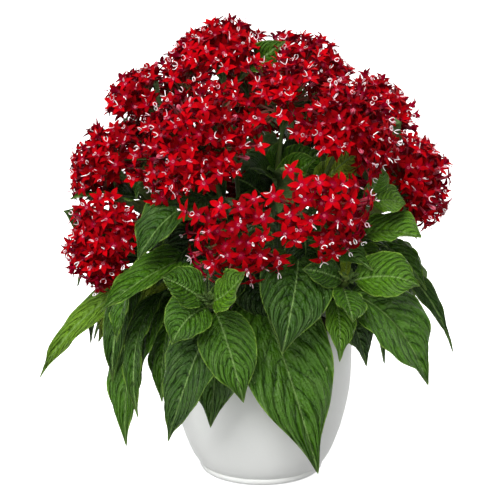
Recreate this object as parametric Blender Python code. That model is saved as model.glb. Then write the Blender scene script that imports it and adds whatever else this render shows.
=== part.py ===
"""A red pentas in flower, growing in a plain pale pot.

Twenty-two stems stand in holes in the potting soil. Seventeen end in a domed head of star-shaped florets
and five end in a tuft of young leaves. Every stem carries its own leaves, which arch out over the rim and
hang. Lengths in the tables are millimetres; +Z is up, -Y is the front, and the origin is the centre of the
foot.
"""

import math
import random

import bmesh
import bpy
from mathutils import Matrix, Vector
from mathutils.bvhtree import BVHTree

MM = 0.001
GAP = 0.3  # clearance between pieces that rest on each other
UP = Vector((0, 0, 1))

# Pot: outer wall from the foot to the rim as (radius, height), then the wall that follows it inside.
POT_OUTER = [(39.5, 0), (42.2, 1.2), (43.4, 4.4), (42.8, 5.2), (44.4, 6.4), (48.6, 13), (53.6, 25),
             (58.6, 42), (62.0, 60), (63.2, 80), (63.0, 98), (62.4, 109.5)]
POT_LIP = [(61.6, 111.6), (60.2, 112.0), (58.9, 110.6)]
POT_WALL = 3.2
POT_FLOOR = 4.5
POT_FLOOR_RADIUS = 38.0
POT_INSIDE_HEIGHTS = (13, 42, 80)
POT_SIDES = 32

SOIL_TOP = 99.0
SOIL_DEPTH = 34.0
SOIL_RING = 50.0
SOIL_RELIEF = 1.3
SOIL_WAVES = (0.31, 0.27)  # radians per millimetre along X and Y
SOIL_EDGE = 1.5  # how far the soil's rounded edge lies below its top
SOIL_CROWN = 0.8

STEM_SIDES = 5
STEM_RINGS = 6
STEM_FOOT = 20.0  # how far a stem reaches straight down into the soil
STEM_COLLAR = 4.0  # and how far it stays straight above it
STEM_BASE_RADIUS = 2.5
STEM_TOP_RADIUS = 1.6
STEM_BEND = (0.42, 0.30)  # how strongly it holds its way up, and its way in at the end
SHOOT_RISE = 0.6  # a shoot turns up at its tip by this much

CROWN = Vector((0, 0, 120))  # every head faces away from this point
HEAD_SPREAD = math.radians(101)  # florets cover the dome down to this angle from its top
FLORETS_PER_MM2 = 0.0143
TUBE_LENGTH = 13.5
NECK_RADIUS = 1.7
PETAL_REACH = 12.0
PETALS = 5
NOTCH_SHARE = 0.5
STAR_TURNS = 9  # a floret is tried at this many turns, and takes the roomiest
THROAT_DEPTH = 2.2
FLORET_ROOM = 0.35  # half the room left between two florets
HEAD_ROOM = 0.8  # and between two heads that press on each other
LEAST_STALK = 4.0  # where a head is pressed to less than this above its core, it bears no floret
SOCKET = 0.52  # the head's underside meets its stem this share of the radius behind the centre
SOCKET_RADIUS = 3.2
SOCKET_SIDES = 6

LEAF_RINGS = (0.22, 0.42, 0.64, 0.86)
SMALL_LEAF = 22.0  # a leaf no wider than this is built with fewer rings
SMALL_LEAF_RINGS = (0.22, 0.5, 0.8)
PETIOLE = 0.1
PETIOLE_RADIUS = 1.1
LEAF_THICK = 1.3
LEAF_FOLD = math.radians(13)
LEAF_WAVE = 1.1
LEAF_LIFT = (0.45, 0.9)  # the way a leaf arches: so much outwards, so much up
LEAF_FACE = 0.8  # how much more than outwards a leaf's upper face looks up
LEAF_ROOM = 0.55  # a leaf is thickened by this much while its place is tested
TRY_STEP, TRY_MOST = 4, 56
SHRINKS = (1.0, 0.9, 0.8, 0.7)
SHRINK_COST = 120  # a leaf is bent by this many degrees before it is shrunk to nothing

# Flower heads: where the stem stands in the soil, the centre of the dome, and its radius.
HEADS = {
    "crown_left": ((-12, 6), (-28, 10, 286), 33),
    "crown_right": ((12, 10), (27, 32, 274), 30.5),
    "shoulder_left": ((-30, 14), (-80, 20, 257.5), 26),
    "shoulder_right": ((30, 16), (79, 26, 249), 25.5),
    "front_high": ((-14, -14), (-39, -50, 238), 41),
    "front_middle": ((3, -8), (15, -26, 260), 33),
    "front_right": ((21, -8), (54, -60, 251), 32),
    "upper_left": ((-38, -4), (-101.5, -4, 216.5), 29),
    "lower_left": ((-33, -21), (-99.5, -30, 168), 35),
    "far_right": ((40, 0), (96.5, -8, 204), 32.5),
    "front_low_left": ((-8, -34), (-16, -84, 188), 32),
    "front_low_right": ((13, -32), (36.5, -80, 202.5), 32.5),
    "back_left": ((-24, 32), (-72, 64, 212), 34),
    "back_right": ((24, 34), (72, 68, 208), 34),
    "back_crown": ((-2, 25), (-8, 78, 244), 34),
    "back_low": ((0, 42), (2, 106, 176), 33),
    "back_shoulder": ((-16, 22), (-50, 50, 254), 27),
}

# Shoots without flowers: where the stem stands, and its tip.
SHOOTS = {
    "shoot_front_left": ((-23, -35), (-34, -104, 150.5)),
    "shoot_front_right": ((30, -29), (55, -84, 159)),
    "shoot_right": ((38, -15), (69, -58, 206)),
    "shoot_back_left": ((-38, 16), (-92, 46, 158)),
    "shoot_back_right": ((40, 20), (80, 58, 158)),
}

# Leaves set one by one: share of the stem where it grows, tip, width, height of its arch, roll in degrees,
# and how far it bows aside, to the right of someone who faces it where that is positive.
SET_LEAVES = {
    "front_high": [(0.84, (-67, -86, 162), 44, 24, 0, 0), (0.50, (-104, -102, 143), 36, 16, -6, 0),
                   (0.52, (-58, -64, 196), 26, 12, 0, 0)],
    "shoot_front_left": [(0.93, (-64, -110, 168.5), 29, 6, 12, 0),
                         (0.98, (-12, -138, 183), 28, -8, 0, 0), (0.90, (-58, -112, 124), 36, 14, 0, 0),
                         (0.86, (-12, -112, 85), 38, 20, 0, 0), (0.62, (-62, -92, 51), 40, 34, 0, 22),
                         (0.50, (-34, -84, 58), 46, 34, 0, 8), (0.44, (-44, -66, 90), 28, 24, 0, 0),
                         (0.985, (-30, -101, 164), 8, 1, 0, 0), (0.955, (-43, -97, 165), 8, 1, 60, 0)],
    "front_low_left": [(0.52, (37, -96, 30), 65, 58, 0, -19), (0.40, (8, -80, 70), 26, 34, 0, 0)],
    "front_low_right": [(0.70, (12.5, -112, 117.5), 51, 34, 0, 6), (0.84, (72, -88, 170), 24, 10, 0, 0)],
    "shoot_front_right": [(0.97, (25, -104, 172), 20, 5, -20, 0), (0.90, (41, -124, 152), 25, 4, 0, 0),
                          (0.985, (49, -104, 169), 9, 2, 30, 0), (0.955, (52, -92, 178), 9, 2, -60, 0),
                          (0.96, (102, -84, 155), 34, 14, 10, 0), (0.82, (109, -86, 88), 50, 30, 8, -3),
                          (0.72, (50, -98, 108), 23, 18, 0, 0), (0.54, (69, -74, 97), 34, 24, 0, 0),
                          (0.46, (94, -60, 109), 24, 26, 0, 0)],
    "shoot_right": [(0.985, (79, -62, 229), 21, 2, 0, 0), (0.98, (95, -54, 204), 25, 6, 0, 0),
                    (0.66, (104, -70, 184), 42, 12, 10, 0), (0.84, (52, -84, 192), 18, 6, 0, 0),
                    (0.60, (98, -66, 128), 28, 26, 0, 0)],
    "far_right": [(0.66, (112, -28, 136), 22, 18, 40, 0), (0.55, (132, -22, 90), 15, 38, 50, 0),
                  (0.45, (106, -50, 115), 26, 28, 0, 0), (0.60, (110, 34, 112), 34, 28, 0, 0)],
    "lower_left": [(0.62, (-155, -8, 67), 20, 31, -50, 0), (0.52, (-115, 12, 87), 32, 30, -55, 0),
                   (0.80, (-100, -58, 80), 22, 28, -40, -8), (0.44, (-91, -66, 38), 43, 44, -10, -18),
                   (0.50, (-82, -80, 63), 24, 36, 0, -20), (0.38, (-67, -58, 66), 32, 32, 0, -5)],
    "front_middle": [(0.74, (-8, -52, 226), 32, 8, 0, 0), (0.60, (22, -66, 222), 30, 14, 0, 0),
                     (0.50, (-14, -64, 198), 30, 16, 0, 0), (0.66, (34, -40, 226), 26, 8, 0, 0)],
    "front_right": [(0.58, (63, -59, 213), 27, 10, 0, 0)],
    "upper_left": [(0.80, (-76, -36, 232), 18, 6, 0, 0), (0.60, (-134, -18, 172), 30, 24, 0, 0)],
}

# Leaves that grow by rule: how far up its stem each node lies. A node bears a pair.
RULE_STEMS = {
    "back_left": (0.52, 0.70, 0.88),
    "back_right": (0.32, 0.50, 0.70, 0.88),
    "back_crown": (0.50, 0.74),
    "back_low": (0.30, 0.50, 0.70, 0.88),
    "shoot_back_left": (0.58, 0.80, 0.98),
    "shoot_back_right": (0.34, 0.58, 0.80),
    "shoulder_left": (0.50, 0.74),
    "shoulder_right": (0.50, 0.74),
    "crown_left": (0.45, 0.70),
    "crown_right": (0.45, 0.70),
    "front_right": (0.45,),
    "upper_left": (0.40,),
    "far_right": (0.34,),
    "lower_left": (0.80,),
}
PAIR_SPREAD = (38, 74, 20)  # each node's pair spreads this many degrees to either side of straight out
RULE_SEED = 7
RULE_HEIGHT = 150  # the height above the soil at which these leaves are smallest
RULE_LENGTH = (84, 66)  # of the lowest leaves and of the highest
RULE_DROP = (0.80, 0.10)  # how far their tips fall, as a share of the length
RULE_REACH = 0.74  # how far out the tips lie, width and arch, as shares of the length
RULE_ASPECT = 0.42
RULE_ARCH = 0.34
RULE_SCATTER = dict(size=(0.85, 1.12), turn=(-9, 9), drop=(-0.12, 0.12), roll=(-12, 12))

COLOURS = {
    "pot": ((0.78, 0.79, 0.76), 0.42),
    "soil": ((0.045, 0.028, 0.018), 0.95),
    "leaf": ((0.045, 0.15, 0.03), 0.42),
    "bloom": ((0.55, 0.008, 0.015), 0.55),
}


def clear_scene():
    for thing in list(bpy.data.objects):
        bpy.data.objects.remove(thing)


def material(kind):
    """The one material of each kind, made when it is first asked for."""
    made = bpy.data.materials.get(kind)
    if made is None:
        colour, roughness = COLOURS[kind]
        made = bpy.data.materials.new(kind)
        made.use_nodes = True
        shader = made.node_tree.nodes["Principled BSDF"]
        shader.inputs["Base Color"].default_value = (*colour, 1)
        shader.inputs["Roughness"].default_value = roughness
        shader.inputs["Metallic"].default_value = 0
    return made


def add_object(name, mesh, kind):
    """Links a mesh, in metres, as the named piece with its material."""
    mesh.materials.append(material(kind))
    piece = bpy.data.objects.new(name, mesh)
    bpy.context.scene.collection.objects.link(piece)
    return piece


def mesh_of(points, faces, name="solid"):
    """A closed mesh in metres from points in millimetres, with its faces turned outwards."""
    mesh = bpy.data.meshes.new(name)
    mesh.from_pydata([tuple(Vector(p) * MM) for p in points], [], faces)
    work = bmesh.new()
    work.from_mesh(mesh)
    bmesh.ops.recalc_face_normals(work, faces=work.faces)
    bmesh.ops.triangulate(work, faces=work.faces)
    work.to_mesh(mesh)
    work.free()
    return mesh


def turned(profile, sides, relief=None):
    """A closed turned solid: the profile starts and ends on the axis."""
    points, rings = [], []
    for radius, height in profile:
        if radius == 0:
            rings.append([len(points)])
            points.append((0, 0, height))
            continue
        rings.append(range(len(points), len(points) + sides))
        for k in range(sides):
            angle = math.tau * k / sides
            x, y = radius * math.cos(angle), radius * math.sin(angle)
            points.append((x, y, height + (relief(x, y, radius, height) if relief else 0)))
    faces = []
    for low, high in zip(rings, rings[1:]):
        for k in range(sides):
            a, b = low[k % len(low)], low[(k + 1) % len(low)]
            c, d = high[(k + 1) % len(high)], high[k % len(high)]
            faces.append([p for i, p in enumerate((a, b, c, d)) if p not in (a, b, c, d)[:i]])
    return mesh_of(points, faces)


def radius_at(profile, height):
    """The radius of a profile at a height."""
    for (low_r, low_z), (high_r, high_z) in zip(profile, profile[1:]):
        if low_z <= height <= high_z:
            return low_r + (high_r - low_r) * (height - low_z) / (high_z - low_z)
    return profile[-1][0]


def pot_inside():
    """The inside wall from the floor up to the lip."""
    wall = [(radius_at(POT_OUTER, z) - POT_WALL, z) for z in POT_INSIDE_HEIGHTS]
    return [(POT_FLOOR_RADIUS, POT_FLOOR)] + wall + [POT_LIP[-1]]


def make_pot():
    profile = [(0, 0)] + POT_OUTER + POT_LIP[:-1] + pot_inside()[::-1] + [(0, POT_FLOOR)]
    pot = add_object("pot", turned(profile, POT_SIDES), "pot")
    pot.data.shade_smooth()
    pot.data.set_sharp_from_angle(angle=math.radians(30))
    return pot


def soil_relief(x, y, radius, height):
    """The uneven lie of the soil's surface; its rim and its underside stay level."""
    if height < SOIL_TOP or radius > SOIL_RING:
        return 0
    return SOIL_RELIEF * math.sin(SOIL_WAVES[0] * x) * math.cos(SOIL_WAVES[1] * y)


def make_soil(stems):
    """The soil fills the pot's inside up to SOIL_TOP, with a plain hole for each stem."""
    levels = (SOIL_TOP - SOIL_DEPTH, POT_INSIDE_HEIGHTS[-1], SOIL_TOP - SOIL_EDGE)
    sides = [(radius_at(pot_inside(), z) - GAP, z) for z in levels]
    profile = [(0, levels[0])] + sides + [(SOIL_RING, SOIL_TOP), (0, SOIL_TOP + SOIL_CROWN)]
    soil = add_object("soil", turned(profile, POT_SIDES, soil_relief), "soil")
    drills = bpy.data.collections.new("stem_holes")
    for stem in stems.values():
        x, y = stem["root"]
        radius = STEM_BASE_RADIUS + 2 * GAP
        ends = (SOIL_TOP - STEM_FOOT - GAP, SOIL_TOP + SOIL_DEPTH)
        rings = [[Vector((x, y, z)) + ring_step(k, radius) for k in range(STEM_SIDES)] for z in ends]
        drill = bpy.data.objects.new("drill", mesh_of(*tube_faces(rings)))
        drills.objects.link(drill)
    join(soil, drills, "DIFFERENCE")
    return soil


def ring_step(k, radius):
    angle = math.tau * k / STEM_SIDES
    return Vector((radius * math.cos(angle), radius * math.sin(angle), 0))


def tube_faces(rings):
    """Points and faces of a closed tube through rings that have the same number of points."""
    count = len(rings[0])
    points = [p for ring in rings for p in ring]
    faces = [list(range(count))[::-1], list(range(len(points) - count, len(points)))]
    for r in range(len(rings) - 1):
        for k in range(count):
            a, b = r * count + k, r * count + (k + 1) % count
            faces.append([a, b, b + count, a + count])
    return points, faces


def join(piece, others, operation="UNION"):
    """Applies one Boolean between a piece and a whole collection, then removes the collection's objects."""
    boolean = piece.modifiers.new("join", "BOOLEAN")
    boolean.operation = operation
    boolean.operand_type = "COLLECTION"
    boolean.collection = others
    boolean.solver = "EXACT"
    bpy.context.view_layer.update()
    graph = bpy.context.evaluated_depsgraph_get()
    joined = bpy.data.meshes.new_from_object(piece.evaluated_get(graph))
    piece.modifiers.clear()
    piece.data = joined
    for thing in list(others.objects):
        bpy.data.objects.remove(thing)
    bpy.data.collections.remove(others)


# ---- stems ----

def facing(centre):
    return (Vector(centre) - CROWN).normalized()


def stem_plan():
    """Every stem as its root, its end, and the direction in which it arrives there."""
    stems = {}
    for name, (root, centre, radius) in HEADS.items():
        axis = facing(centre)
        stems[name] = {"root": root, "end": Vector(centre) - axis * (SOCKET * radius + GAP), "axis": axis}
    for name, (root, tip) in SHOOTS.items():
        axis = (facing(tip) + UP * SHOOT_RISE).normalized()
        stems[name] = {"root": root, "end": Vector(tip), "axis": axis}
    return stems


def stem_point(stem, share):
    """A point of the stem's centre line: up out of the soil, then over towards its end."""
    start = Vector((*stem["root"], SOIL_TOP + STEM_COLLAR))
    end = stem["end"]
    rise = (end - start).length
    first = start + UP * (STEM_BEND[0] * rise)
    second = end - stem["axis"] * (STEM_BEND[1] * rise)
    rest = 1 - share
    return (start * rest**3 + first * (3 * rest * rest * share)
            + second * (3 * rest * share * share) + end * share**3)


def stem_solid(stem):
    foot = Vector((*stem["root"], SOIL_TOP - STEM_FOOT))
    rings = [[foot + ring_step(k, STEM_BASE_RADIUS) for k in range(STEM_SIDES)]]
    for r in range(STEM_RINGS):
        share = r / (STEM_RINGS - 1)
        centre = stem_point(stem, share)
        ahead = stem_point(stem, min(share + 0.01, 1))
        behind = stem_point(stem, max(share - 0.01, 0))
        along = stem["axis"] if r == STEM_RINGS - 1 else (ahead - behind).normalized()
        turn = UP.rotation_difference(along if r else UP)
        radius = STEM_BASE_RADIUS + (STEM_TOP_RADIUS - STEM_BASE_RADIUS) * share
        rings.append([centre + turn @ ring_step(k, radius) for k in range(STEM_SIDES)])
    return tube_faces(rings)


# ---- leaves ----

def blend(ends, share):
    return ends[0] + (ends[1] - ends[0]) * share


def leaf_plan():
    """Every leaf as a dict. Leaves set one by one come first, so that they keep their places."""
    leaves = []
    for stem, rows in SET_LEAVES.items():
        for share, tip, width, arch, roll, bow in rows:
            leaves.append(dict(stem=stem, share=share, tip=Vector(tip), width=width, arch=arch, roll=roll,
                               bow=bow))
    draw = random.Random(RULE_SEED)
    stems = stem_plan()
    for stem, nodes in RULE_STEMS.items():
        end = stems[stem]["end"]
        straight_out = math.atan2(end.y, end.x)
        for n, share in enumerate(nodes):
            foot = stem_point(stems[stem], share)
            height = min((foot.z - SOIL_TOP) / RULE_HEIGHT, 1)
            for side in (-1, 1):
                size = blend(RULE_LENGTH, height) * draw.uniform(*RULE_SCATTER["size"])
                spread = PAIR_SPREAD[n % len(PAIR_SPREAD)] + draw.uniform(*RULE_SCATTER["turn"])
                angle = straight_out + side * math.radians(spread)
                out = Vector((math.cos(angle), math.sin(angle), 0))
                fall = blend(RULE_DROP, height) + draw.uniform(*RULE_SCATTER["drop"])
                tip = foot + out * (size * RULE_REACH) - UP * (size * fall)
                leaves.append(dict(stem=stem, share=share, tip=tip, width=size * RULE_ASPECT,
                                   arch=size * RULE_ARCH, roll=draw.uniform(*RULE_SCATTER["roll"]), bow=0))
    return leaves


def leaf_line(leaf, stem, swing, sweep, shrink):
    """Start, control and tip of a leaf's midrib, after the leaf is swung up, swept round and shrunk."""
    start = stem_point(stem, leaf["share"])
    reach = (leaf["tip"] - start) * shrink
    level = Vector((reach.x, reach.y, 0)).normalized()
    across = UP.cross(level)
    turn = Matrix.Rotation(math.radians(sweep), 3, "Z") @ Matrix.Rotation(math.radians(-swing), 3, across)
    reach = turn @ reach
    out = Vector((start.x + reach.x, start.y + reach.y, 0)).normalized()
    lift = (out * LEAF_LIFT[0] + UP * LEAF_LIFT[1]).normalized()
    aside = turn @ across * (leaf["bow"] * shrink)
    return start, start + reach / 2 + lift * (leaf["arch"] * shrink) + aside, start + reach


def half_width(share):
    """Half of the blade's outline, as a share of its width, from the petiole's end to the tip."""
    return 0.5 * math.sin(math.pi * min(share, 1) ** 0.78) ** 0.9


def leaf_section(leaf, line, share):
    """Centre, side direction and upward normal of the leaf at a share of its midrib."""
    start, control, tip = line
    rest = 1 - share
    centre = start * rest * rest + control * (2 * rest * share) + tip * share * share
    along = ((control - start) * rest + (tip - control) * share).normalized()
    out = Vector((centre.x, centre.y, 0)).normalized()
    side = along.cross(out + UP * LEAF_FACE).normalized()
    side = Matrix.Rotation(math.radians(leaf["roll"]), 3, along) @ side
    return centre, side, side.cross(along).normalized()


def leaf_solid(leaf, line, puff=0.0, whole=True):
    """A folded blade with a petiole: points and faces. puff thickens it to test for room."""
    length = (line[2] - line[0]).length
    rings = []
    shares = SMALL_LEAF_RINGS if leaf["width"] <= SMALL_LEAF else LEAF_RINGS
    for n, share in enumerate((0.0, PETIOLE) + shares):
        centre, side, up = leaf_section(leaf, line, share)
        if share <= PETIOLE:
            radius = PETIOLE_RADIUS + puff
            rings.append([centre - side * radius, centre - up * radius, centre + side * radius])
            continue
        half = leaf["width"] * half_width((share - PETIOLE) / (1 - PETIOLE))
        wave = LEAF_WAVE * min(1, length / 60) * (-1) ** n
        rise = half * math.sin(LEAF_FOLD)
        reach = half * math.cos(LEAF_FOLD)
        thick = LEAF_THICK * (1.15 - 0.4 * share)
        rings.append([centre - side * (reach + puff) + up * (rise + wave), centre - up * (thick + puff),
                      centre + side * (reach + puff) + up * (rise - wave), centre + up * puff])
    if not whole:
        rings = rings[1:]
    points = [p for ring in rings for p in ring]
    faces = [[0, 1, 2]]
    base = 0
    for low, high in zip(rings, rings[1:]):
        top = base + len(low)
        if len(high) == 3:
            faces += [[base + k, base + (k + 1) % 3, top + (k + 1) % 3, top + k] for k in range(3)]
        elif len(low) == 3:
            # The petiole's flat top opens into the blade's upper face.
            faces += [[base, base + 1, top + 1, top], [base + 1, base + 2, top + 2, top + 1],
                      [base + 2, base, top + 3], [base + 2, top + 3, top + 2], [base, top, top + 3]]
        else:
            for k in range(4):
                # Upper and lower face are split along alike diagonals, or they would cross at the edges.
                a, b, c, d = base + k, base + (k + 1) % 4, top + (k + 1) % 4, top + k
                faces += [[a, b, c], [a, c, d]] if k in (0, 2) else [[a, b, d], [b, c, d]]
        base = top
    points.append(line[2])
    faces += [[base + k, base + (k + 1) % 4, base + 4] for k in range(4)]
    return points, faces


def tree_of(solid):
    points, faces = solid
    return BVHTree.FromPolygons([tuple(p) for p in points], [list(f) for f in faces])


def box_of(points):
    return [min(p[i] for p in points) for i in range(3)], [max(p[i] for p in points) for i in range(3)]


def boxes_meet(one, other):
    return all(one[0][i] <= other[1][i] and other[0][i] <= one[1][i] for i in range(3))


def tries():
    """Ways to bend a leaf clear, the least bent first: (swing up, sweep round, shrink)."""
    steps = range(-TRY_MOST, TRY_MOST + 1, TRY_STEP)
    found = [(swing, sweep, shrink) for swing in steps for sweep in steps for shrink in SHRINKS]
    return sorted(found, key=lambda t: (math.hypot(t[0], t[1]) + SHRINK_COST * (1 - t[2]), t))


def seat_leaf(leaf, stem, taken):
    """The first try at which the leaf, thickened a little, crosses nothing that already has its place."""
    for swing, sweep, shrink in tries():
        line = leaf_line(leaf, stem, swing, sweep, shrink)
        for whole in (True, False):
            solid = leaf_solid(leaf, line, puff=LEAF_ROOM, whole=whole)
            box = box_of(solid[0])
            near = [tree for tree, other, owner in taken
                    if (owner != leaf["stem"]) == whole and boxes_meet(box, other)]
            tree = tree_of(solid)
            if any(tree.overlap(other) for other in near):
                break
        else:
            return line
    return None


# ---- flower heads ----

def dome_directions(axis, count):
    """Even directions over the dome, by the golden angle."""
    turn = UP.rotation_difference(axis)
    golden = math.pi * (3 - math.sqrt(5))
    low = math.cos(HEAD_SPREAD)
    found = []
    for i in range(count):
        z = 1 - (1 - low) * (i + 0.5) / count
        ring = math.sqrt(1 - z * z)
        step = Vector((ring * math.cos(golden * i), ring * math.sin(golden * i), z))
        found.append((turn @ step).normalized())
    return found


def pressed(name, point):
    """How far out a point of a head may lie, as a share, before it meets the heads that press on it."""
    _, centre, radius = HEADS[name]
    centre = Vector(centre)
    share = 1.0
    for other, (_, far, far_radius) in HEADS.items():
        gap = Vector(far) - centre
        if other == name:
            continue
        plane = (gap.length_squared + radius**2 - far_radius**2) / (2 * gap.length) - HEAD_ROOM
        height = (point - centre).dot(gap.normalized())
        if height > plane:
            share = min(share, plane / height)
    return share


def star(name, centre, direction, others, radius):
    """A floret clear of those beside it: its share of the radius, outline, throat and first petal's way."""
    flat = direction.orthogonal().normalized()
    cross = direction.cross(flat)

    def free_reach(angle):
        way = flat * math.cos(angle) + cross * math.sin(angle)
        reach = PETAL_REACH
        for other in others:
            lean = way.dot(other)
            if lean > 0:
                room = radius * (1 - direction.dot(other)) - FLORET_ROOM * (direction - other).length
                reach = min(reach, room / lean)
        return way, reach

    step = math.tau / PETALS
    turns = [step * k / STAR_TURNS for k in range(STAR_TURNS)]
    first = max(turns, key=lambda t: min(free_reach(t + step * k)[1] for k in range(PETALS)))
    tips = [free_reach(first + step * k) for k in range(PETALS)]
    notch = NOTCH_SHARE * sum(reach for _, reach in tips) / PETALS
    ring = []
    for k, (way, reach) in enumerate(tips):
        between = first + step * (k + 0.5)
        bay = flat * math.cos(between) + cross * math.sin(between)
        ring.append(centre + direction * radius + way * reach)
        ring.append(centre + direction * radius + bay * notch)
    share = min(pressed(name, p) for p in ring)
    ring = [centre + (p - centre) * share for p in ring]
    throat = centre + direction * (radius * share - THROAT_DEPTH)
    return share, ring, throat, flat * math.cos(first) + cross * math.sin(first)


def head_solid(name):
    """One closed body: a small core, and florets that flare from it on narrow necks."""
    _, centre, radius = HEADS[name]
    centre = Vector(centre)
    axis = facing(centre)
    core = radius - TUBE_LENGTH
    directions = dome_directions(axis, round(FLORETS_PER_MM2 * radius * radius))
    work = bmesh.new()
    florets = []
    for direction in directions:
        others = [d for d in directions if d is not direction]
        share, ring, throat, way = star(name, centre, direction, others, radius)
        if radius * share < core + LEAST_STALK:
            continue
        across = direction.cross(way)
        neck = []
        for k in range(3):
            angle = math.tau * k / 3
            step = (way * math.cos(angle) + across * math.sin(angle)) * NECK_RADIUS
            neck.append(work.verts.new((direction * core + step).normalized() * core + centre))
        florets.append((neck, ring, throat))
    turn = UP.rotation_difference(axis)
    for k in range(SOCKET_SIDES):
        angle = math.tau * k / SOCKET_SIDES
        step = Vector((math.cos(angle), math.sin(angle), 0)) * SOCKET_RADIUS
        work.verts.new(centre - axis * (SOCKET * radius) + turn @ step)
    bmesh.ops.convex_hull(work, input=list(work.verts))
    for neck, ring, throat in florets:
        lid = [f for f in work.faces if set(f.verts) == set(neck)]
        bmesh.ops.delete(work, geom=lid, context="FACES_ONLY")
        ring = [work.verts.new(p) for p in ring]
        throat = work.verts.new(throat)
        for k, point in enumerate(ring):
            work.faces.new((point, ring[(k + 1) % len(ring)], throat))
        # The back of the floret narrows from its outline to the neck's three points.
        i = j = 0
        while i < len(ring) or j < 3:
            if j == 3 or (i < len(ring) and (i + 1) * 3 <= (j + 1) * len(ring)):
                work.faces.new((ring[(i + 1) % len(ring)], ring[i % len(ring)], neck[j % 3]))
                i += 1
            else:
                work.faces.new((ring[i % len(ring)], neck[j % 3], neck[(j + 1) % 3]))
                j += 1
    bmesh.ops.recalc_face_normals(work, faces=work.faces)
    work.verts.index_update()
    solid = [v.co.copy() for v in work.verts], [[v.index for v in f.verts] for f in work.faces]
    work.free()
    return solid


def solid_of_mesh(mesh):
    return [v.co / MM for v in mesh.vertices], [list(p.vertices) for p in mesh.polygons]


def main():
    clear_scene()
    stems = stem_plan()
    pot = make_pot()
    soil = make_soil(stems)
    taken = []

    def take(solid, owner):
        taken.append((tree_of(solid), box_of(solid[0]), owner))

    take(solid_of_mesh(pot.data), "pot")
    take(solid_of_mesh(soil.data), "soil")
    for name in HEADS:
        solid = head_solid(name)
        take(solid, "bloom")
        add_object("bloom_" + name, mesh_of(*solid), "bloom")
    bodies = {name: stem_solid(stem) for name, stem in stems.items()}
    for name, solid in bodies.items():
        take(solid, name)
    grown = {name: [] for name in stems}
    for leaf in leaf_plan():
        line = seat_leaf(leaf, stems[leaf["stem"]], taken)
        if line is None:
            continue
        grown[leaf["stem"]].append(leaf_solid(leaf, line))
        take(leaf_solid(leaf, line, whole=False), leaf["stem"])
    for name, solid in bodies.items():
        plant = add_object("leafy_stem_" + name, mesh_of(*solid), "leaf")
        blades = bpy.data.collections.new("blades")
        for blade in grown[name]:
            blades.objects.link(bpy.data.objects.new("blade", mesh_of(*blade)))
        join(plant, blades)


main()
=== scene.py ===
# %% [markdown]
# # A potted red pentas
#
# The plant is a small bush in a plain pale pot. Seventeen stems end in a domed head of star-shaped florets
# and five end in a tuft of young leaves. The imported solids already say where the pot, the soil, every stem,
# every leaf and every head is, but with few faces and no finish. This script keeps those places and grows
# the fine form there: veined blades, true-sized florets, satin plastic and velvet petals. Lengths are
# millimetres until a mesh is made.

# %% Load the frame
import math
import random

import bpy
import numpy as np
from mathutils import Matrix, Vector, noise
from mathutils.kdtree import KDTree


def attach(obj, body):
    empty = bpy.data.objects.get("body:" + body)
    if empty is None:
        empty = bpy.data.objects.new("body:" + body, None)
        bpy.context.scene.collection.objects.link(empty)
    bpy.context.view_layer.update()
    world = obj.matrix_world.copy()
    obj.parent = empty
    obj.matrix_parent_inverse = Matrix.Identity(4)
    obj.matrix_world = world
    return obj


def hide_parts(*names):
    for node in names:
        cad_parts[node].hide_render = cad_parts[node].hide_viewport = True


MM = 0.001
UP = np.array((0.0, 0.0, 1.0))

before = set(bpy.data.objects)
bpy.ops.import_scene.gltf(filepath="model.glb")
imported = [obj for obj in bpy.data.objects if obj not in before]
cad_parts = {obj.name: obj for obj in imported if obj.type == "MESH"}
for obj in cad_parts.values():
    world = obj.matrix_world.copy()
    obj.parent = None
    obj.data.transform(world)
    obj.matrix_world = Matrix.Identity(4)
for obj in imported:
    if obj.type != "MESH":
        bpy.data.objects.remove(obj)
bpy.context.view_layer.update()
print("nodes in the frame:", len(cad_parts))

# %% [markdown]
# ## Camera
#
# The camera looks down a little on the plant, from 1.3 m away, as one looks at a plant on a table. A long
# lens keeps the pot's sides almost parallel. It is aimed near the pot's axis, about half way up the plant.

# %% Camera
CAMERA_ELEVATION = math.radians(14.5)
CAMERA_DISTANCE = 1.300
CAMERA_AIM = (-0.0079, 0.0, 0.1576)
CAMERA_LENS = 135.65


def put(name, data):
    """Sets a mesh, a lamp or a camera in the scene, as an object."""
    made = bpy.data.objects.new(name, data)
    bpy.context.scene.collection.objects.link(made)
    return made


def set_camera():
    camera = put("camera", bpy.data.cameras.new("camera"))
    camera.data.lens = CAMERA_LENS
    camera.location = (
        CAMERA_AIM[0],
        CAMERA_AIM[1] - CAMERA_DISTANCE * math.cos(CAMERA_ELEVATION),
        CAMERA_AIM[2] + CAMERA_DISTANCE * math.sin(CAMERA_ELEVATION),
    )
    camera.rotation_euler = (math.pi / 2 - CAMERA_ELEVATION, 0, 0)
    bpy.context.scene.camera = camera
    print("camera height:", round(camera.location.z, 3), "m")


set_camera()

# %% [markdown]
# ## A bench for materials
#
# Every finish here is a Principled shader with a few nodes in front of it. Adding nodes one by one is
# long-winded, so a small helper makes a node, feeds its sockets by name, and hands back an output, which
# the next node can take.

# %% Material bench


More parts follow.
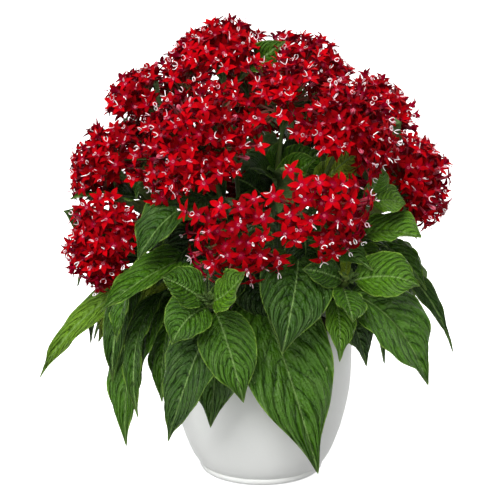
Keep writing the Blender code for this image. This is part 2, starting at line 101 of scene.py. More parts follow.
class Finish:
    """One material while it is being made."""

    def __init__(self, name, **sockets):
        self.material = bpy.data.materials.new(name)
        self.material.use_nodes = True
        self.tree = self.material.node_tree
        self.shader = self.tree.nodes["Principled BSDF"]
        self.feed(self.shader, sockets)

    def plug(self, sockets, values):
        """Links each socket to an output, or sets it to a number or a colour."""
        for socket, value in zip(sockets, values):
            if isinstance(value, bpy.types.NodeSocket):
                self.tree.links.new(value, socket)
            else:
                socket.default_value = (*value, 1) if socket.type == "RGBA" else value

    def feed(self, node, feeds):
        self.plug([node.inputs[name.replace("_", " ")] for name in feeds], feeds.values())

    def node(self, kind, out=0, settings=(), **feeds):
        made = self.tree.nodes.new("ShaderNode" + kind)
        for name, value in dict(settings).items():
            setattr(made, name, value)
        self.feed(made, feeds)
        return made.outputs[out]

    def math(self, operation, *values):
        made = self.node("Math", settings={"operation": operation})
        self.plug(made.node.inputs, values)
        return made

    def plus(self, a, b):
        return self.math("ADD", a, b)

    def minus(self, a, b):
        return self.math("SUBTRACT", a, b)

    def times(self, a, b):
        return self.math("MULTIPLY", a, b)

    def fade(self, value, low, high, start=0.0, end=1.0):
        """A soft step: start below low, end above high."""
        return self.node("MapRange", settings={"interpolation_type": "SMOOTHSTEP"},
                         Value=value, From_Min=low, From_Max=high, To_Min=start, To_Max=end)

    def mix(self, factor, a, b):
        made = self.node("Mix", 2, {"data_type": "RGBA"})
        self.plug([made.node.inputs[n] for n in (0, 6, 7)], (factor, a, b))
        return made

    def ramp(self, factor, *stops):
        """A colour that runs through the stops, each a place from 0 to 1 and a colour."""
        made = self.node("ValToRGB")
        self.plug(made.node.inputs, (factor,))
        elements = made.node.color_ramp.elements
        while len(elements) < len(stops):
            elements.new(1)
        for element, (place, colour) in zip(elements, stops):
            element.position = place
            element.color = (*colour, 1)
        return made

    def noise(self, vector, scale, detail=3.0, roughness=0.5):
        return self.node("TexNoise", Vector=vector, Scale=scale, Detail=detail, Roughness=roughness)

    def bump(self, height, distance, strength=1.0, under=None, sunk=False):
        feeds = {} if under is None else {"Normal": under}
        return self.node("Bump", settings={"invert": sunk}, Height=height, Distance=distance,
                         Strength=strength, **feeds)

    def place(self):
        """Where a point is on the object, in metres."""
        return self.node("TexCoord", 3)

    def layer(self, name):
        """One of a mesh's two sets of flat coordinates."""
        return self.node("UVMap", settings={"uv_map": name})

    def split(self, vector):
        """The first and the second number of a vector."""
        return self.node("SeparateXYZ", Vector=vector).node.outputs[:2]

    def tint(self):
        """The number that a mesh keeps for each of its points."""
        return self.node("Attribute", 2, {"attribute_name": "tint"})

    def done(self, **sockets):
        self.feed(self.shader, sockets)
        return self.material


# %% [markdown]
# ## A sheaf for meshes
#
# A leafy stem is a tube with a dozen blades, and a head is dozens of florets of five petals. Each is one
# object, so that it stands for one solid of the frame. The sheaf gathers the points and faces of all that
# belongs to one object, with a finish for each face, two sets of flat coordinates, and a tint for each
# point, and makes the mesh at the end.

# %% Mesh sheaf


class Sheaf:
    """The points, faces and marks of one object while they are being gathered."""

    def __init__(self):
        self.points, self.flats, self.veins, self.tints = [], [], [], []
        self.faces, self.finishes, self.count = [], [], 0

    def add(self, points, faces, finish, flat=None, vein=None, tint=0.5):
        """points (n, 3) in millimetres; flat and vein (n, 2) are flat coordinates that the finish reads."""
        points = np.asarray(points, float)
        blank = np.zeros((len(points), 2))
        self.points.append(points)
        self.flats.append(blank if flat is None else flat)
        self.veins.append(blank if vein is None else vein)
        self.tints.append(np.broadcast_to(tint, (len(points),)))
        self.faces += [tuple(self.count + i for i in face) for face in faces]
        self.finishes += [finish] * len(faces)
        self.count += len(points)

    def triangles(self):
        return sum(len(face) - 2 for face in self.faces)

    def piece(self, name, finishes, sharp=50):
        mesh = bpy.data.meshes.new(name)
        mesh.from_pydata(np.concatenate(self.points) * MM, [], self.faces)
        corners = np.zeros(len(mesh.loops), np.int32)
        mesh.loops.foreach_get("vertex_index", corners)
        for layer, values in (("flat", self.flats), ("vein", self.veins)):
            flat = np.concatenate(values).astype(np.float32)[corners]
            mesh.uv_layers.new(name=layer).data.foreach_set("uv", flat.ravel())
        tint = mesh.attributes.new("tint", "FLOAT", "POINT")
        tint.data.foreach_set("value", np.concatenate(self.tints).astype(np.float32))
        for finish in finishes:
            mesh.materials.append(finish)
        mesh.polygons.foreach_set("material_index", np.array(self.finishes, np.int32))
        mesh.shade_smooth()
        mesh.set_sharp_from_angle(angle=math.radians(sharp))
        return put(name, mesh)


def settle(piece, slot, *nodes):
    """The piece rides on the plant's one body and stands for these solids. The slot is not used."""
    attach(piece, "root")
    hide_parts(*nodes)


# %% [markdown]
# ## Ways and tubes
#
# Stalks, styles and tubes are all the same form: a round section swept along a bent line. A face needs its
# corners in order round the section, so the sweep carries two ways across the line along with it.

# %% Ways and tubes


def unit(vectors):
    vectors = np.asarray(vectors, float)
    return vectors / np.linalg.norm(vectors, axis=-1, keepdims=True)


def level_ways(angle):
    """The level way at this angle, and the level way square to it."""
    cos, sin = math.cos(angle), math.sin(angle)
    return np.array((cos, sin, 0.0)), np.array((-sin, cos, 0.0))


def about_up(angle):
    """The turn by this angle about the upright axis."""
    return np.stack([*level_ways(angle), UP], 1)


def tube(path, radii, sides):
    """Points and faces of a closed round tube along a path, with a radius for each of its points."""
    path = np.asarray(path, float)
    along = unit(np.gradient(path, axis=0))
    guide = np.eye(3)[np.argmin(np.abs(unit(path[-1] - path[0])))]
    side = unit(np.cross(along, guide))
    other = np.cross(side, along)
    turns = np.arange(sides) * (math.tau / sides)
    spokes = side[:, None] * np.cos(turns)[:, None] + other[:, None] * np.sin(turns)[:, None]
    points = path[:, None] + spokes * np.asarray(radii)[:, None, None]
    faces = [tuple(range(sides)), tuple(range((len(path) - 1) * sides, len(path) * sides))[::-1]]
    for r in range(len(path) - 1):
        for k in range(sides):
            a, b = r * sides + k, r * sides + (k + 1) % sides
            faces.append((a, a + sides, b + sides, b))
    return points.reshape(-1, 3), faces


def turned(wall, sides):
    """A surface turned round the upright axis from (radius, height) pairs; a radius of 0 closes it."""
    points, faces, rings = [], [], []
    for radius, height in wall:
        count = sides if radius else 1
        angles = np.arange(count) * (math.tau / sides)
        rings.append(range(len(points), len(points) + count))
        points += [(radius * math.cos(a), radius * math.sin(a), height) for a in angles]
    for low, high in zip(rings, rings[1:]):
        for k in range(sides):
            below = (low[k % len(low)], low[(k + 1) % len(low)])
            above = (high[(k + 1) % len(high)], high[k % len(high)])
            faces.append(tuple(dict.fromkeys(below + above)))
    return np.array(points, float), faces


# %% [markdown]
# ## Pot
#
# The pot is moulded plastic with a satin skin: one smooth curve from a narrow foot to a wide belly, with a
# shallow groove above the foot. Its solid has flat sides, so the same wall is turned again here with four
# times as many. The finish is nearly even. What tells plastic from paper is how the gloss breaks up, so the
# roughness drifts a little and a very fine grain lies in the surface.

# %% Pot
POT_WALL = [
    (0, 0), (38.6, 0), (39.5, 0.15), (42.2, 1.2), (43.2, 2.8), (43.4, 4.2), (43.1, 4.9), (42.9, 5.3),
    (43.3, 5.8), (44.4, 6.6), (46.4, 9.6), (48.6, 13), (51.2, 18.6), (53.6, 25), (56.3, 33), (58.6, 42),
    (60.6, 51), (62.0, 60), (62.9, 70), (63.2, 80), (63.2, 90), (63.0, 98), (62.7, 104.5), (62.4, 109.5),
    (62.1, 110.9), (61.2, 111.8), (60.2, 112.0), (59.3, 111.6), (58.9, 110.6), (60.0, 80)]
POT_TURN = 128


def satin_plastic():
    finish = Finish("satin_pot", Specular_IOR_Level=0.5)
    place = finish.place()
    drift = finish.noise(place, 14.0, 2.0)
    grain = finish.noise(place, 2600.0, 2.0)
    colour = finish.mix(finish.fade(drift, 0.3, 0.7), (0.87, 0.885, 0.86), (0.90, 0.91, 0.885))
    return finish.done(Base_Color=colour, Roughness=finish.fade(drift, 0.2, 0.8, 0.34, 0.46),
                       Normal=finish.bump(grain, 0.00004, 0.5))


pot = Sheaf()
pot.add(*turned(POT_WALL, POT_TURN), 0)
settle(pot.piece("pot_wall", [satin_plastic()], sharp=55), "pot", "pot")
print("pot: widest radius", max(radius for radius, _ in POT_WALL), "mm, triangles:", pot.triangles())

# %% [markdown]
# ## Soil
#
# Potting soil is dark peat with crumbs and a few white grains of perlite. A bumpy disc gives the lie of it,
# and some hundreds of small lumps on top give the crumbs, all in one mesh. The leaves hide nearly all of
# it, so the lumps stay coarse: an octahedron each, with its six corners pushed in or out.

# %% Soil
SOIL_TOP = 99.0
SOIL_RADIUS = 59.4
SOIL_DEPTH = 30
SOIL_RINGS = 16
SOIL_TURN = 48
SOIL_SEED = 11
CRUMBS = 420
CRUMB_SIZE = (0.7, 2.1)
PERLITE_SHARE = 0.1
LUMP = unit([(1, 0, 0), (-1, 0, 0), (0, 1, 0), (0, -1, 0), (0, 0, 1), (0, 0, -1)])
LUMP_SIDES = [(0, 2, 4), (2, 1, 4), (1, 3, 4), (3, 0, 4), (2, 0, 5), (1, 2, 5), (3, 1, 5), (0, 3, 5)]


def soil_height(x, y):
    hills = 1.0 * np.sin(0.31 * x) * np.cos(0.27 * y)
    return SOIL_TOP + hills + 0.5 * np.sin(0.9 * x + 1.3) * np.sin(0.8 * y)


def peat(name, dark, light):
    finish = Finish(name, Specular_IOR_Level=0.25, Roughness=0.95)
    grain = finish.noise(finish.place(), 900.0, 5.0, 0.7)
    return finish.done(Base_Color=finish.mix(finish.fade(grain, 0.35, 0.7), dark, light),
                       Normal=finish.bump(grain, 0.0006))


def make_soil():
    draw = np.random.default_rng(SOIL_SEED)
    soil = Sheaf()
    floor = SOIL_TOP - SOIL_DEPTH
    wall = [(0, floor), (SOIL_RADIUS - 1.2, floor), (SOIL_RADIUS, SOIL_TOP - 1)]
    wall += [(SOIL_RADIUS * k / SOIL_RINGS, SOIL_TOP) for k in range(SOIL_RINGS - 1, -1, -1)]
    points, faces = turned(wall, SOIL_TURN)
    top = points[:, 2] > SOIL_TOP - 0.5
    points[top, 2] = soil_height(points[top, 0], points[top, 1])
    soil.add(points, faces, 0)
    for n in range(CRUMBS):
        radius, angle = (SOIL_RADIUS - 3) * math.sqrt(draw.random()), draw.uniform(0, math.tau)
        x, y = radius * math.cos(angle), radius * math.sin(angle)
        size = draw.uniform(*CRUMB_SIZE) * draw.uniform(0.6, 1.3, (6, 1))
        place = (x, y, soil_height(x, y) + 0.2)
        soil.add(LUMP * size * (1, 0.9, 0.7) + place, LUMP_SIDES, int(n < CRUMBS * PERLITE_SHARE))
    print("soil: crumbs", CRUMBS, "triangles:", soil.triangles())
    return soil.piece("soil_surface", [peat("peat", (0.016, 0.010, 0.006), (0.075, 0.045, 0.028)),
                                       peat("perlite", (0.55, 0.53, 0.48), (0.8, 0.78, 0.72))])


settle(make_soil(), "soil", "soil")

# %% [markdown]
# ## How the plant grows
#
# The same tables as in the solids say where each stem stands and ends. A stem rises out of the soil and
# leans over towards its head. Each head has a place of its own, because the crowd of heads makes the
# plant's outline.

# %% Where stems stand
# Flower heads: where the stem stands in the soil, the centre of the dome, and its radius.
HEADS = {
    "crown_left": ((-12, 6), (-28, 10, 286), 33),
    "crown_right": ((12, 10), (27, 32, 274), 30.5),
    "shoulder_left": ((-30, 14), (-80, 20, 257.5), 26),
    "shoulder_right": ((30, 16), (79, 26, 249), 25.5),
    "front_high": ((-14, -14), (-39, -50, 238), 41),
    "front_middle": ((3, -8), (15, -26, 260), 33),
    "front_right": ((21, -8), (54, -60, 251), 32),
    "upper_left": ((-38, -4), (-101.5, -4, 216.5), 29),
    "lower_left": ((-33, -21), (-99.5, -30, 168), 35),
    "far_right": ((40, 0), (96.5, -8, 204), 32.5),
    "front_low_left": ((-8, -34), (-16, -84, 188), 32),
    "front_low_right": ((13, -32), (36.5, -80, 202.5), 32.5),
    "back_left": ((-24, 32), (-72, 64, 212), 34),
    "back_right": ((24, 34), (72, 68, 208), 34),
    "back_crown": ((-2, 25), (-8, 78, 244), 34),
    "back_low": ((0, 42), (2, 106, 176), 33),
    "back_shoulder": ((-16, 22), (-50, 50, 254), 27),
}

# Shoots without flowers: where the stem stands, and its tip.
SHOOTS = {
    "shoot_front_left": ((-23, -35), (-34, -104, 150.5)),
    "shoot_front_right": ((30, -29), (55, -84, 159)),
    "shoot_right": ((38, -15), (69, -58, 206)),
    "shoot_back_left": ((-38, 16), (-92, 46, 158)),
    "shoot_back_right": ((40, 20), (80, 58, 158)),
}

print("heads:", len(HEADS), "shoots:", len(SHOOTS))

# %% [markdown]
# ## Where leaves grow
#
# Leaves are set in two ways: those that make the front are set one by one, and the rest come in pairs at
# the nodes of their stems. Each leaf set one by one also has a tone here: 0 is an old dark blade, 1 a young
# bright one.

# %% Where leaves grow
# Leaves set one by one: share of the stem where it grows, tip, width, height of its arch, tone, and for some
# a roll in degrees and a bow aside.
SET_LEAVES = {
    "front_high": [(0.84, (-67, -86, 162), 44, 24, 0.24), (0.50, (-104, -102, 143), 36, 16, 0.45, -6),
        (0.52, (-58, -64, 196), 26, 12, 0.20)],
    "shoot_front_left": [(0.93, (-64, -110, 168.5), 29, 6, 0.40, 12), (0.98, (-12, -138, 183), 28, -8, 0.62),
        (0.90, (-58, -112, 124), 36, 14, 0.38), (0.86, (-12, -112, 85), 38, 20, 0.42),
        (0.62, (-62, -92, 51), 40, 34, 0.24, 0, 22), (0.50, (-34, -84, 58), 46, 34, 0.34, 0, 8),
        (0.44, (-44, -66, 90), 28, 24, 0.50), (0.985, (-30, -101, 164), 8, 1, 0.10),
        (0.955, (-43, -97, 165), 8, 1, 0.10, 60)],
    "front_low_left": [(0.52, (37, -96, 30), 65, 58, 0.37, 0, -19), (0.40, (8, -80, 70), 26, 34, 0.20)],
    "front_low_right": [(0.70, (12.5, -112, 117.5), 51, 34, 0.22, 0, 6),
        (0.84, (72, -88, 170), 24, 10, 0.40)],
    "shoot_front_right": [(0.97, (25, -104, 172), 20, 5, 0.30, -20), (0.90, (41, -124, 152), 25, 4, 0.42),
        (0.985, (49, -104, 169), 9, 2, 0.95, 30), (0.955, (52, -92, 178), 9, 2, 0.95, -60),
        (0.96, (102, -84, 155), 34, 14, 0.54, 10), (0.82, (109, -86, 88), 50, 30, 0.40, 8, -3),
        (0.72, (50, -98, 108), 23, 18, 0.60), (0.54, (69, -74, 97), 34, 24, 0.22),
        (0.46, (94, -60, 109), 24, 26, 0.30)],
    "shoot_right": [(0.985, (79, -62, 229), 21, 2, 0.62), (0.98, (95, -54, 204), 25, 6, 0.66),
        (0.66, (104, -70, 184), 42, 12, 0.58, 10), (0.84, (52, -84, 192), 18, 6, 0.50),
        (0.60, (98, -66, 128), 28, 26, 0.60)],
    "far_right": [(0.66, (112, -28, 136), 22, 18, 0.35, 40), (0.55, (132, -22, 90), 15, 38, 0.20, 50),
        (0.45, (106, -50, 115), 26, 28, 0.25), (0.60, (110, 34, 112), 34, 28, 0.20)],
    "lower_left": [(0.62, (-155, -8, 67), 20, 31, 0.70, -50), (0.52, (-115, 12, 87), 32, 30, 1.00, -55),
        (0.80, (-100, -58, 80), 22, 28, 0.25, -40, -8), (0.44, (-91, -66, 38), 43, 44, 0.40, -10, -18),
        (0.50, (-82, -80, 63), 24, 36, 0.30, 0, -20), (0.38, (-67, -58, 66), 32, 32, 0.42, 0, -5)],
    "front_middle": [(0.74, (-8, -52, 226), 32, 8, 0.15), (0.60, (22, -66, 222), 30, 14, 0.35),
        (0.50, (-14, -64, 198), 30, 16, 0.15), (0.66, (34, -40, 226), 26, 8, 0.50)],
    "front_right": [(0.58, (63, -59, 213), 27, 10, 0.40)],
    "upper_left": [(0.80, (-76, -36, 232), 18, 6, 0.40), (0.60, (-134, -18, 172), 30, 24, 0.50)],
}

# Leaves that grow by rule: how far up its stem each node lies. A node bears a pair.
RULE_STEMS = {
    "back_left": (0.52, 0.70, 0.88), "back_right": (0.32, 0.50, 0.70, 0.88), "back_crown": (0.50, 0.74),
    "back_low": (0.30, 0.50, 0.70, 0.88), "shoot_back_left": (0.58, 0.80, 0.98),
    "shoot_back_right": (0.34, 0.58, 0.80), "shoulder_left": (0.50, 0.74), "shoulder_right": (0.50, 0.74),
    "crown_left": (0.45, 0.70), "crown_right": (0.45, 0.70), "front_right": (0.45,), "upper_left": (0.40,),
    "far_right": (0.34,), "lower_left": (0.80,),
}
print("leaves set one by one:", sum(map(len, SET_LEAVES.values())))

# %% [markdown]
# ## Stems
#
# A stem's centre line is one bent curve. It leaves the soil upright, and it arrives below its head square
# to the dome, which faces away from the middle of the plant. A bare shoot also turns up a little at its
# end, towards the light.

# %% Stems
SOIL_COLLAR = 4.0  # a stem stays upright this far above the soil
STEM_BEND = (0.42, 0.30)  # how strongly it holds its way up, and its way in at the end
SHOOT_RISE = 0.6
CROWN = Vector((0, 0, 120))  # every head faces away from this point
SOCKET = 0.52  # a stem ends at this share of the dome's radius below its centre, and this gap further down
GAP = 0.3


def facing(centre):
    return (Vector(centre) - CROWN).normalized()


def stem_plan():
    stems = {}
    for name, (root, centre, radius) in HEADS.items():
        axis = facing(centre)
        stems[name] = {"root": root, "end": Vector(centre) - axis * (SOCKET * radius + GAP), "axis": axis}
    for name, (root, tip) in SHOOTS.items():
        axis = (facing(tip) + Vector(UP) * SHOOT_RISE).normalized()
        stems[name] = {"root": root, "end": Vector(tip), "axis": axis}
    return stems


def stem_point(stem, share):
    start = Vector((*stem["root"], SOIL_TOP + SOIL_COLLAR))
    end = stem["end"]
    rise = (end - start).length
    first = start + Vector(UP) * (STEM_BEND[0] * rise)
    second = end - stem["axis"] * (STEM_BEND[1] * rise)
    rest = 1 - share
    return (start * rest**3 + first * (3 * rest * rest * share)
            + second * (3 * rest * share * share) + end * share**3)


stems = stem_plan()
print("stems:", len(stems), "highest end:", round(max(stem["end"].z for stem in stems.values())), "mm")

# %% [markdown]
# ## The plan of the leaves
#
# A pair that grows by rule spreads to either side of straight out. Low on the plant such leaves are larger
# and hang more, and high up they are shorter and stand out. A little scatter in size, turn and drop keeps
# them from matching.

# %% The plan of the leaves
PAIR_SPREAD = (38, 74, 20)  # each node's pair spreads this many degrees to either side of straight out
RULE_SEED = 7
TONE_SEED = 5
RULE_HEIGHT = 150  # the height above the soil at which these leaves are smallest
RULE_LENGTH = (84, 66)  # of the lowest leaves and of the highest
RULE_DROP = (0.80, 0.10)  # how far their tips fall, as a share of the length
RULE_REACH = 0.74  # how far out the tips lie, width and arch, as shares of the length
RULE_ASPECT = 0.42
RULE_ARCH = 0.34
RULE_SCATTER = dict(size=(0.85, 1.12), turn=(-9, 9), drop=(-0.12, 0.12), roll=(-12, 12))
RULE_TONE = (0.12, 0.42)
YOUNG_FROM = 0.6  # above this share of the stem, leaves are younger and so brighter
YOUNG_TONE = 0.25


def listed_leaves(table):
    leaves = []
    for stem, rows in table.items():
        for share, tip, width, arch, tone, *bends in rows:
            roll, bow = (*bends, 0, 0)[:2]
            leaves.append(dict(stem=stem, share=share, tip=Vector(tip), width=width, arch=arch, roll=roll,
                               bow=bow, tone=tone))
    return leaves


def blend(ends, share):
    return ends[0] + (ends[1] - ends[0]) * share


def leaf_plan():
    leaves = listed_leaves(SET_LEAVES)
    draw = random.Random(RULE_SEED)
    shade = random.Random(TONE_SEED)
    for stem, nodes in RULE_STEMS.items():
        end = stems[stem]["end"]
        straight_out = math.atan2(end.y, end.x)
        for n, share in enumerate(nodes):
            foot = stem_point(stems[stem], share)
            height = min((foot.z - SOIL_TOP) / RULE_HEIGHT, 1)
            for side in (-1, 1):
                size = blend(RULE_LENGTH, height) * draw.uniform(*RULE_SCATTER["size"])
                spread = PAIR_SPREAD[n % len(PAIR_SPREAD)] + draw.uniform(*RULE_SCATTER["turn"])
                out = Vector(level_ways(straight_out + side * math.radians(spread))[0])
                fall = blend(RULE_DROP, height) + draw.uniform(*RULE_SCATTER["drop"])
                tip = foot + out * (size * RULE_REACH) - Vector(UP) * (size * fall)
                roll = draw.uniform(*RULE_SCATTER["roll"])
                tone = shade.uniform(*RULE_TONE) + YOUNG_TONE * max(0, share - YOUNG_FROM)
                leaves.append(dict(stem=stem, share=share, tip=tip, width=size * RULE_ASPECT,
                                   arch=size * RULE_ARCH, roll=roll, bow=0, tone=tone))
    return leaves


planned = leaf_plan()
print("leaves planned:", len(planned))

# %% [markdown]
# ## The lie of each leaf
#
# In the solids a leaf that would cut its neighbour was swung up, swept round or shrunk until it came clear,
# the least bent way first. That search isn't repeated here: a way is the right one when the tip that it
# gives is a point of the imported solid, so each leaf here lies exactly where its solid does.

# %% The lie of each leaf
LEAF_LIFT = (0.45, 0.9)  # a midrib arches outwards and upwards in these shares
TRY_STEP, TRY_MOST = 4, 56  # degrees of swing and of sweep
SHRINKS = (1.0, 0.9, 0.8, 0.7)
SHRINK_COST = 120  # shrinking a leaf away counts for as much as bending it by this many degrees
TIP_MATCH = 0.05


def leaf_line(leaf, swing=0, sweep=0, shrink=1):
    """Start, control and tip of a leaf's midrib, after the leaf is swung up, swept round and shrunk."""
    start = stem_point(stems[leaf["stem"]], leaf["share"])
    reach = (leaf["tip"] - start) * shrink
    level = Vector((reach.x, reach.y, 0)).normalized()
    across = Vector(UP).cross(level)
    turn = Matrix.Rotation(math.radians(sweep), 3, "Z") @ Matrix.Rotation(math.radians(-swing), 3, across)
    reach = turn @ reach
    out = Vector((start.x + reach.x, start.y + reach.y, 0)).normalized()
    lift = (out * LEAF_LIFT[0] + Vector(UP) * LEAF_LIFT[1]).normalized()
    aside = turn @ across * (leaf["bow"] * shrink)
    return start, start + reach / 2 + lift * (leaf["arch"] * shrink) + aside, start + reach


def tries():
    steps = range(-TRY_MOST, TRY_MOST + 1, TRY_STEP)
    found = [(swing, sweep, shrink) for swing in steps for sweep in steps for shrink in SHRINKS]
    return sorted(found, key=lambda t: (math.hypot(t[0], t[1]) + SHRINK_COST * (1 - t[2]), t))


def points_tree(name):
    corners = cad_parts[name].data.vertices
    tree = KDTree(len(corners))
    for n, corner in enumerate(corners):
        tree.insert(corner.co, n)
    tree.balance()
    return tree


def lay_leaves():
    """Every leaf of the solids with its midrib. A leaf that found no room there is left out here too."""
    ways = tries()
    trees = {name: points_tree("leafy_stem_" + name) for name in stems}
    laid = []
    for leaf in planned:
        for way in ways:
            line = leaf_line(leaf, *way)
            if trees[leaf["stem"]].find(line[2] * MM)[2] < TIP_MATCH * MM:
                laid.append((leaf, line))
                break
        else:
            print("no room for a leaf of", leaf["stem"])
    return laid


laid_leaves = lay_leaves()
print("leaves laid as in the solids:", len(laid_leaves))

# %% [markdown]
# ## Inner leaves
#
# A real bush also has small leaves in its dark middle, and without them one would look straight through it.
# Only this model has them, in a table written as above. A small one peeps out between the two crown heads,
# a few with a bright tone, painted light as if lit from behind, show in the clearings, and the others stand
# in the shade behind and below the heads, with a dark tone as painted shade.

# %% Inner leaves
# Tones of 0.15 and less are painted shade, and tones of 0.8 and more are painted light from behind.
INNER_LEAVES = {
    "shoulder_left": [(0.86, (-73, 34, 276), 30, 6, 0.10)],
    "shoulder_right": [(0.86, (95, 2, 247), 34, 6, 0.10), (0.80, (54, 22, 232), 34, 8, 0.10)],
    "crown_left": [(0.97, (16, -12, 304), 22, 10, 0.42), (0.62, (-30, -14, 216), 38, 10, 0.05),
        (0.66, (12, 22, 224), 42, 8, 0.10), (0.68, (-44, 32, 228), 40, 8, 0.10)],
    "back_crown": [(0.62, (14, 50, 226), 40, 8, 0.10)],
    "crown_right": [(0.60, (34, 0, 222), 36, 10, 0.10), (0.80, (58, 60, 236), 38, 8, 0.10),
        (0.74, (26, 70, 232), 38, 8, 0.10), (0.84, (44, 50, 256), 30, 8, 0.10)],
    "front_middle": [(0.60, (-16, -20, 212), 34, 8, 0.10), (0.72, (12, -10, 236), 26, 6, 0.45),
        (0.66, (40, -8, 228), 36, 8, 0.42), (0.62, (2, -30, 204), 32, 8, 0.10),
        (0.70, (24, -4, 238), 26, 6, 0.20)],
    "front_low_left": [(0.80, (-42, -74, 130), 44, 14, 0.05), (0.72, (8, -78, 126), 42, 14, 0.05),
        (0.88, (6, -66, 168), 34, 10, 0.05)],
    "front_high": [(0.62, (-70, -62, 148), 40, 16, 0.05), (0.66, (-40, -72, 176), 36, 12, 0.05),
        (0.74, (-46, -16, 207), 36, 8, 0.10)],
    "front_low_right": [(0.78, (62, -70, 140), 40, 14, 0.05), (0.86, (28, -66, 160), 34, 10, 0.05)],
    "front_right": [(0.80, (66, -32, 234), 24, 6, 0.92), (0.74, (46, -36, 228), 22, 6, 0.80)],
    "far_right": [(0.86, (84, -26, 206), 18, 5, 0.95)],
    "upper_left": [(0.84, (-122, 4, 192), 32, 8, 0.15), (0.72, (-78, 2, 223), 17, 4, 0.80)],
    "lower_left": [(0.92, (-136, -2, 186), 28, 8, 0.15), (0.86, (-70, -34, 156), 34, 10, 0.10)],
}

laid_leaves += [(leaf, leaf_line(leaf)) for leaf in listed_leaves(INNER_LEAVES)]
print("leaves with the inner ones:", len(laid_leaves))

# %% [markdown]
# ## The form of a leaf
#
# A pentas leaf is egg-shaped with a drawn-out tip. Its midrib follows the bent line found above, and at
# each point of it three ways matter: along the rib, out to the side, and up out of the blade. The side way
# comes from turning the face of the leaf to the light, outwards and up, and rolling it a little.

# %% The form of a leaf
PETIOLE = 0.1  # share of the midrib without a blade
LEAF_FACE = 0.8  # how much a blade faces up rather than outwards


def smooth(low, high, value):
    t = np.clip((value - low) / (high - low), 0, 1)
    return t * t * (3 - 2 * t)


def outline(share):
    """Half the blade's width as a share of its whole width, from the petiole's end to the drawn-out tip."""
    half = 0.5 * np.sin(math.pi * np.minimum(share, 1) ** 0.82) ** 0.76
    return half * (1 - 0.5 * smooth(0.70, 1, share))


def midrib(leaf, line, share):
    """Centres, side ways and upward ways along the midrib, a row for each row of share."""
    start, control, tip = (np.array(p) for p in line)
    rest = 1 - share
    centre = start * rest * rest + control * 2 * rest * share + tip * share * share
    along = unit((control - start) * rest + (tip - control) * share)
    side = unit(np.cross(along, unit(centre * (1, 1, 0)) + UP * LEAF_FACE))
    roll = math.radians(leaf["roll"])
    side = side * math.cos(roll) + np.cross(along, side) * math.sin(roll)
    return centre, side, np.cross(side, along)


print("a blade is widest at", int(np.argmax(outline(np.linspace(0, 1, 101)))), "% of its length")

# %% [markdown]
# ## Leaf blades
#
# Eight or nine veins leave the midrib on each side, run out and bend forward until they nearly follow the
# margin. The upper face is sunk along every vein and puffed up between them, like a quilt. A flat card with
# a picture would lose that, so the quilting is shaped in the mesh: a fine grid along and across the blade,
# lifted between the veins. The underside needs less, so its grid is coarser, and the two meet in a thin
# margin. Each point also keeps how far along it is between two veins and how far it is from the margin, and
# the finish uses both to draw the veins and the edge.

# %% Leaf blades
ROW_STEP = 1.7  # the grid's steps along and across
COLUMN_STEP = 1.8
VEINS = (8.4, 10.4)  # to a side
VEIN_LEAN = (0.15, 0.24)  # how far forward a vein runs on its way to the margin, and how much it bends
QUILT = 0.10  # how high the blade puffs up, as a share of the way from vein to vein
QUILT_SCATTER = (0.7, 1.3)
WAVE = (1.5, 0.22, 0.21)  # the slow wave of a blade: its height, where it crests, and half its pitch
CURL = 0.95  # how far the margin curls up and down from vein to vein
FOLD = (0.36, 0.17)  # the blade rises from the midrib, less and less
GROOVE = (0.35, 0.9)  # how deep and how wide the midrib is sunk
THICK = (0.25, 0.6)  # of the blade at its margin, and added at its midrib
DRAWN_IN = 0.975  # folding draws the margins in a little
FULL_LENGTH = 60  # shorter leaves are flatter and thinner
PETIOLE_RADIUS = (1.25, 0.85)
PETIOLE_END = 0.05  # how far the stalk runs on below the blade
UPPER, UNDER, STALK = range(3)


def sheet_faces(rows, columns, turned_over):
    """Faces of a grid, and of the fan that joins its last row to one point beyond."""
    last = (rows - 1) * columns
    faces = [(a, a + 1, a + columns + 1, a + columns)
             for r in range(rows - 1) for a in range(r * columns, (r + 1) * columns - 1)]
    faces += [(last + c, last + c + 1, rows * columns) for c in range(columns - 1)]
    return [(face[0], *face[:0:-1]) for face in faces] if turned_over else faces


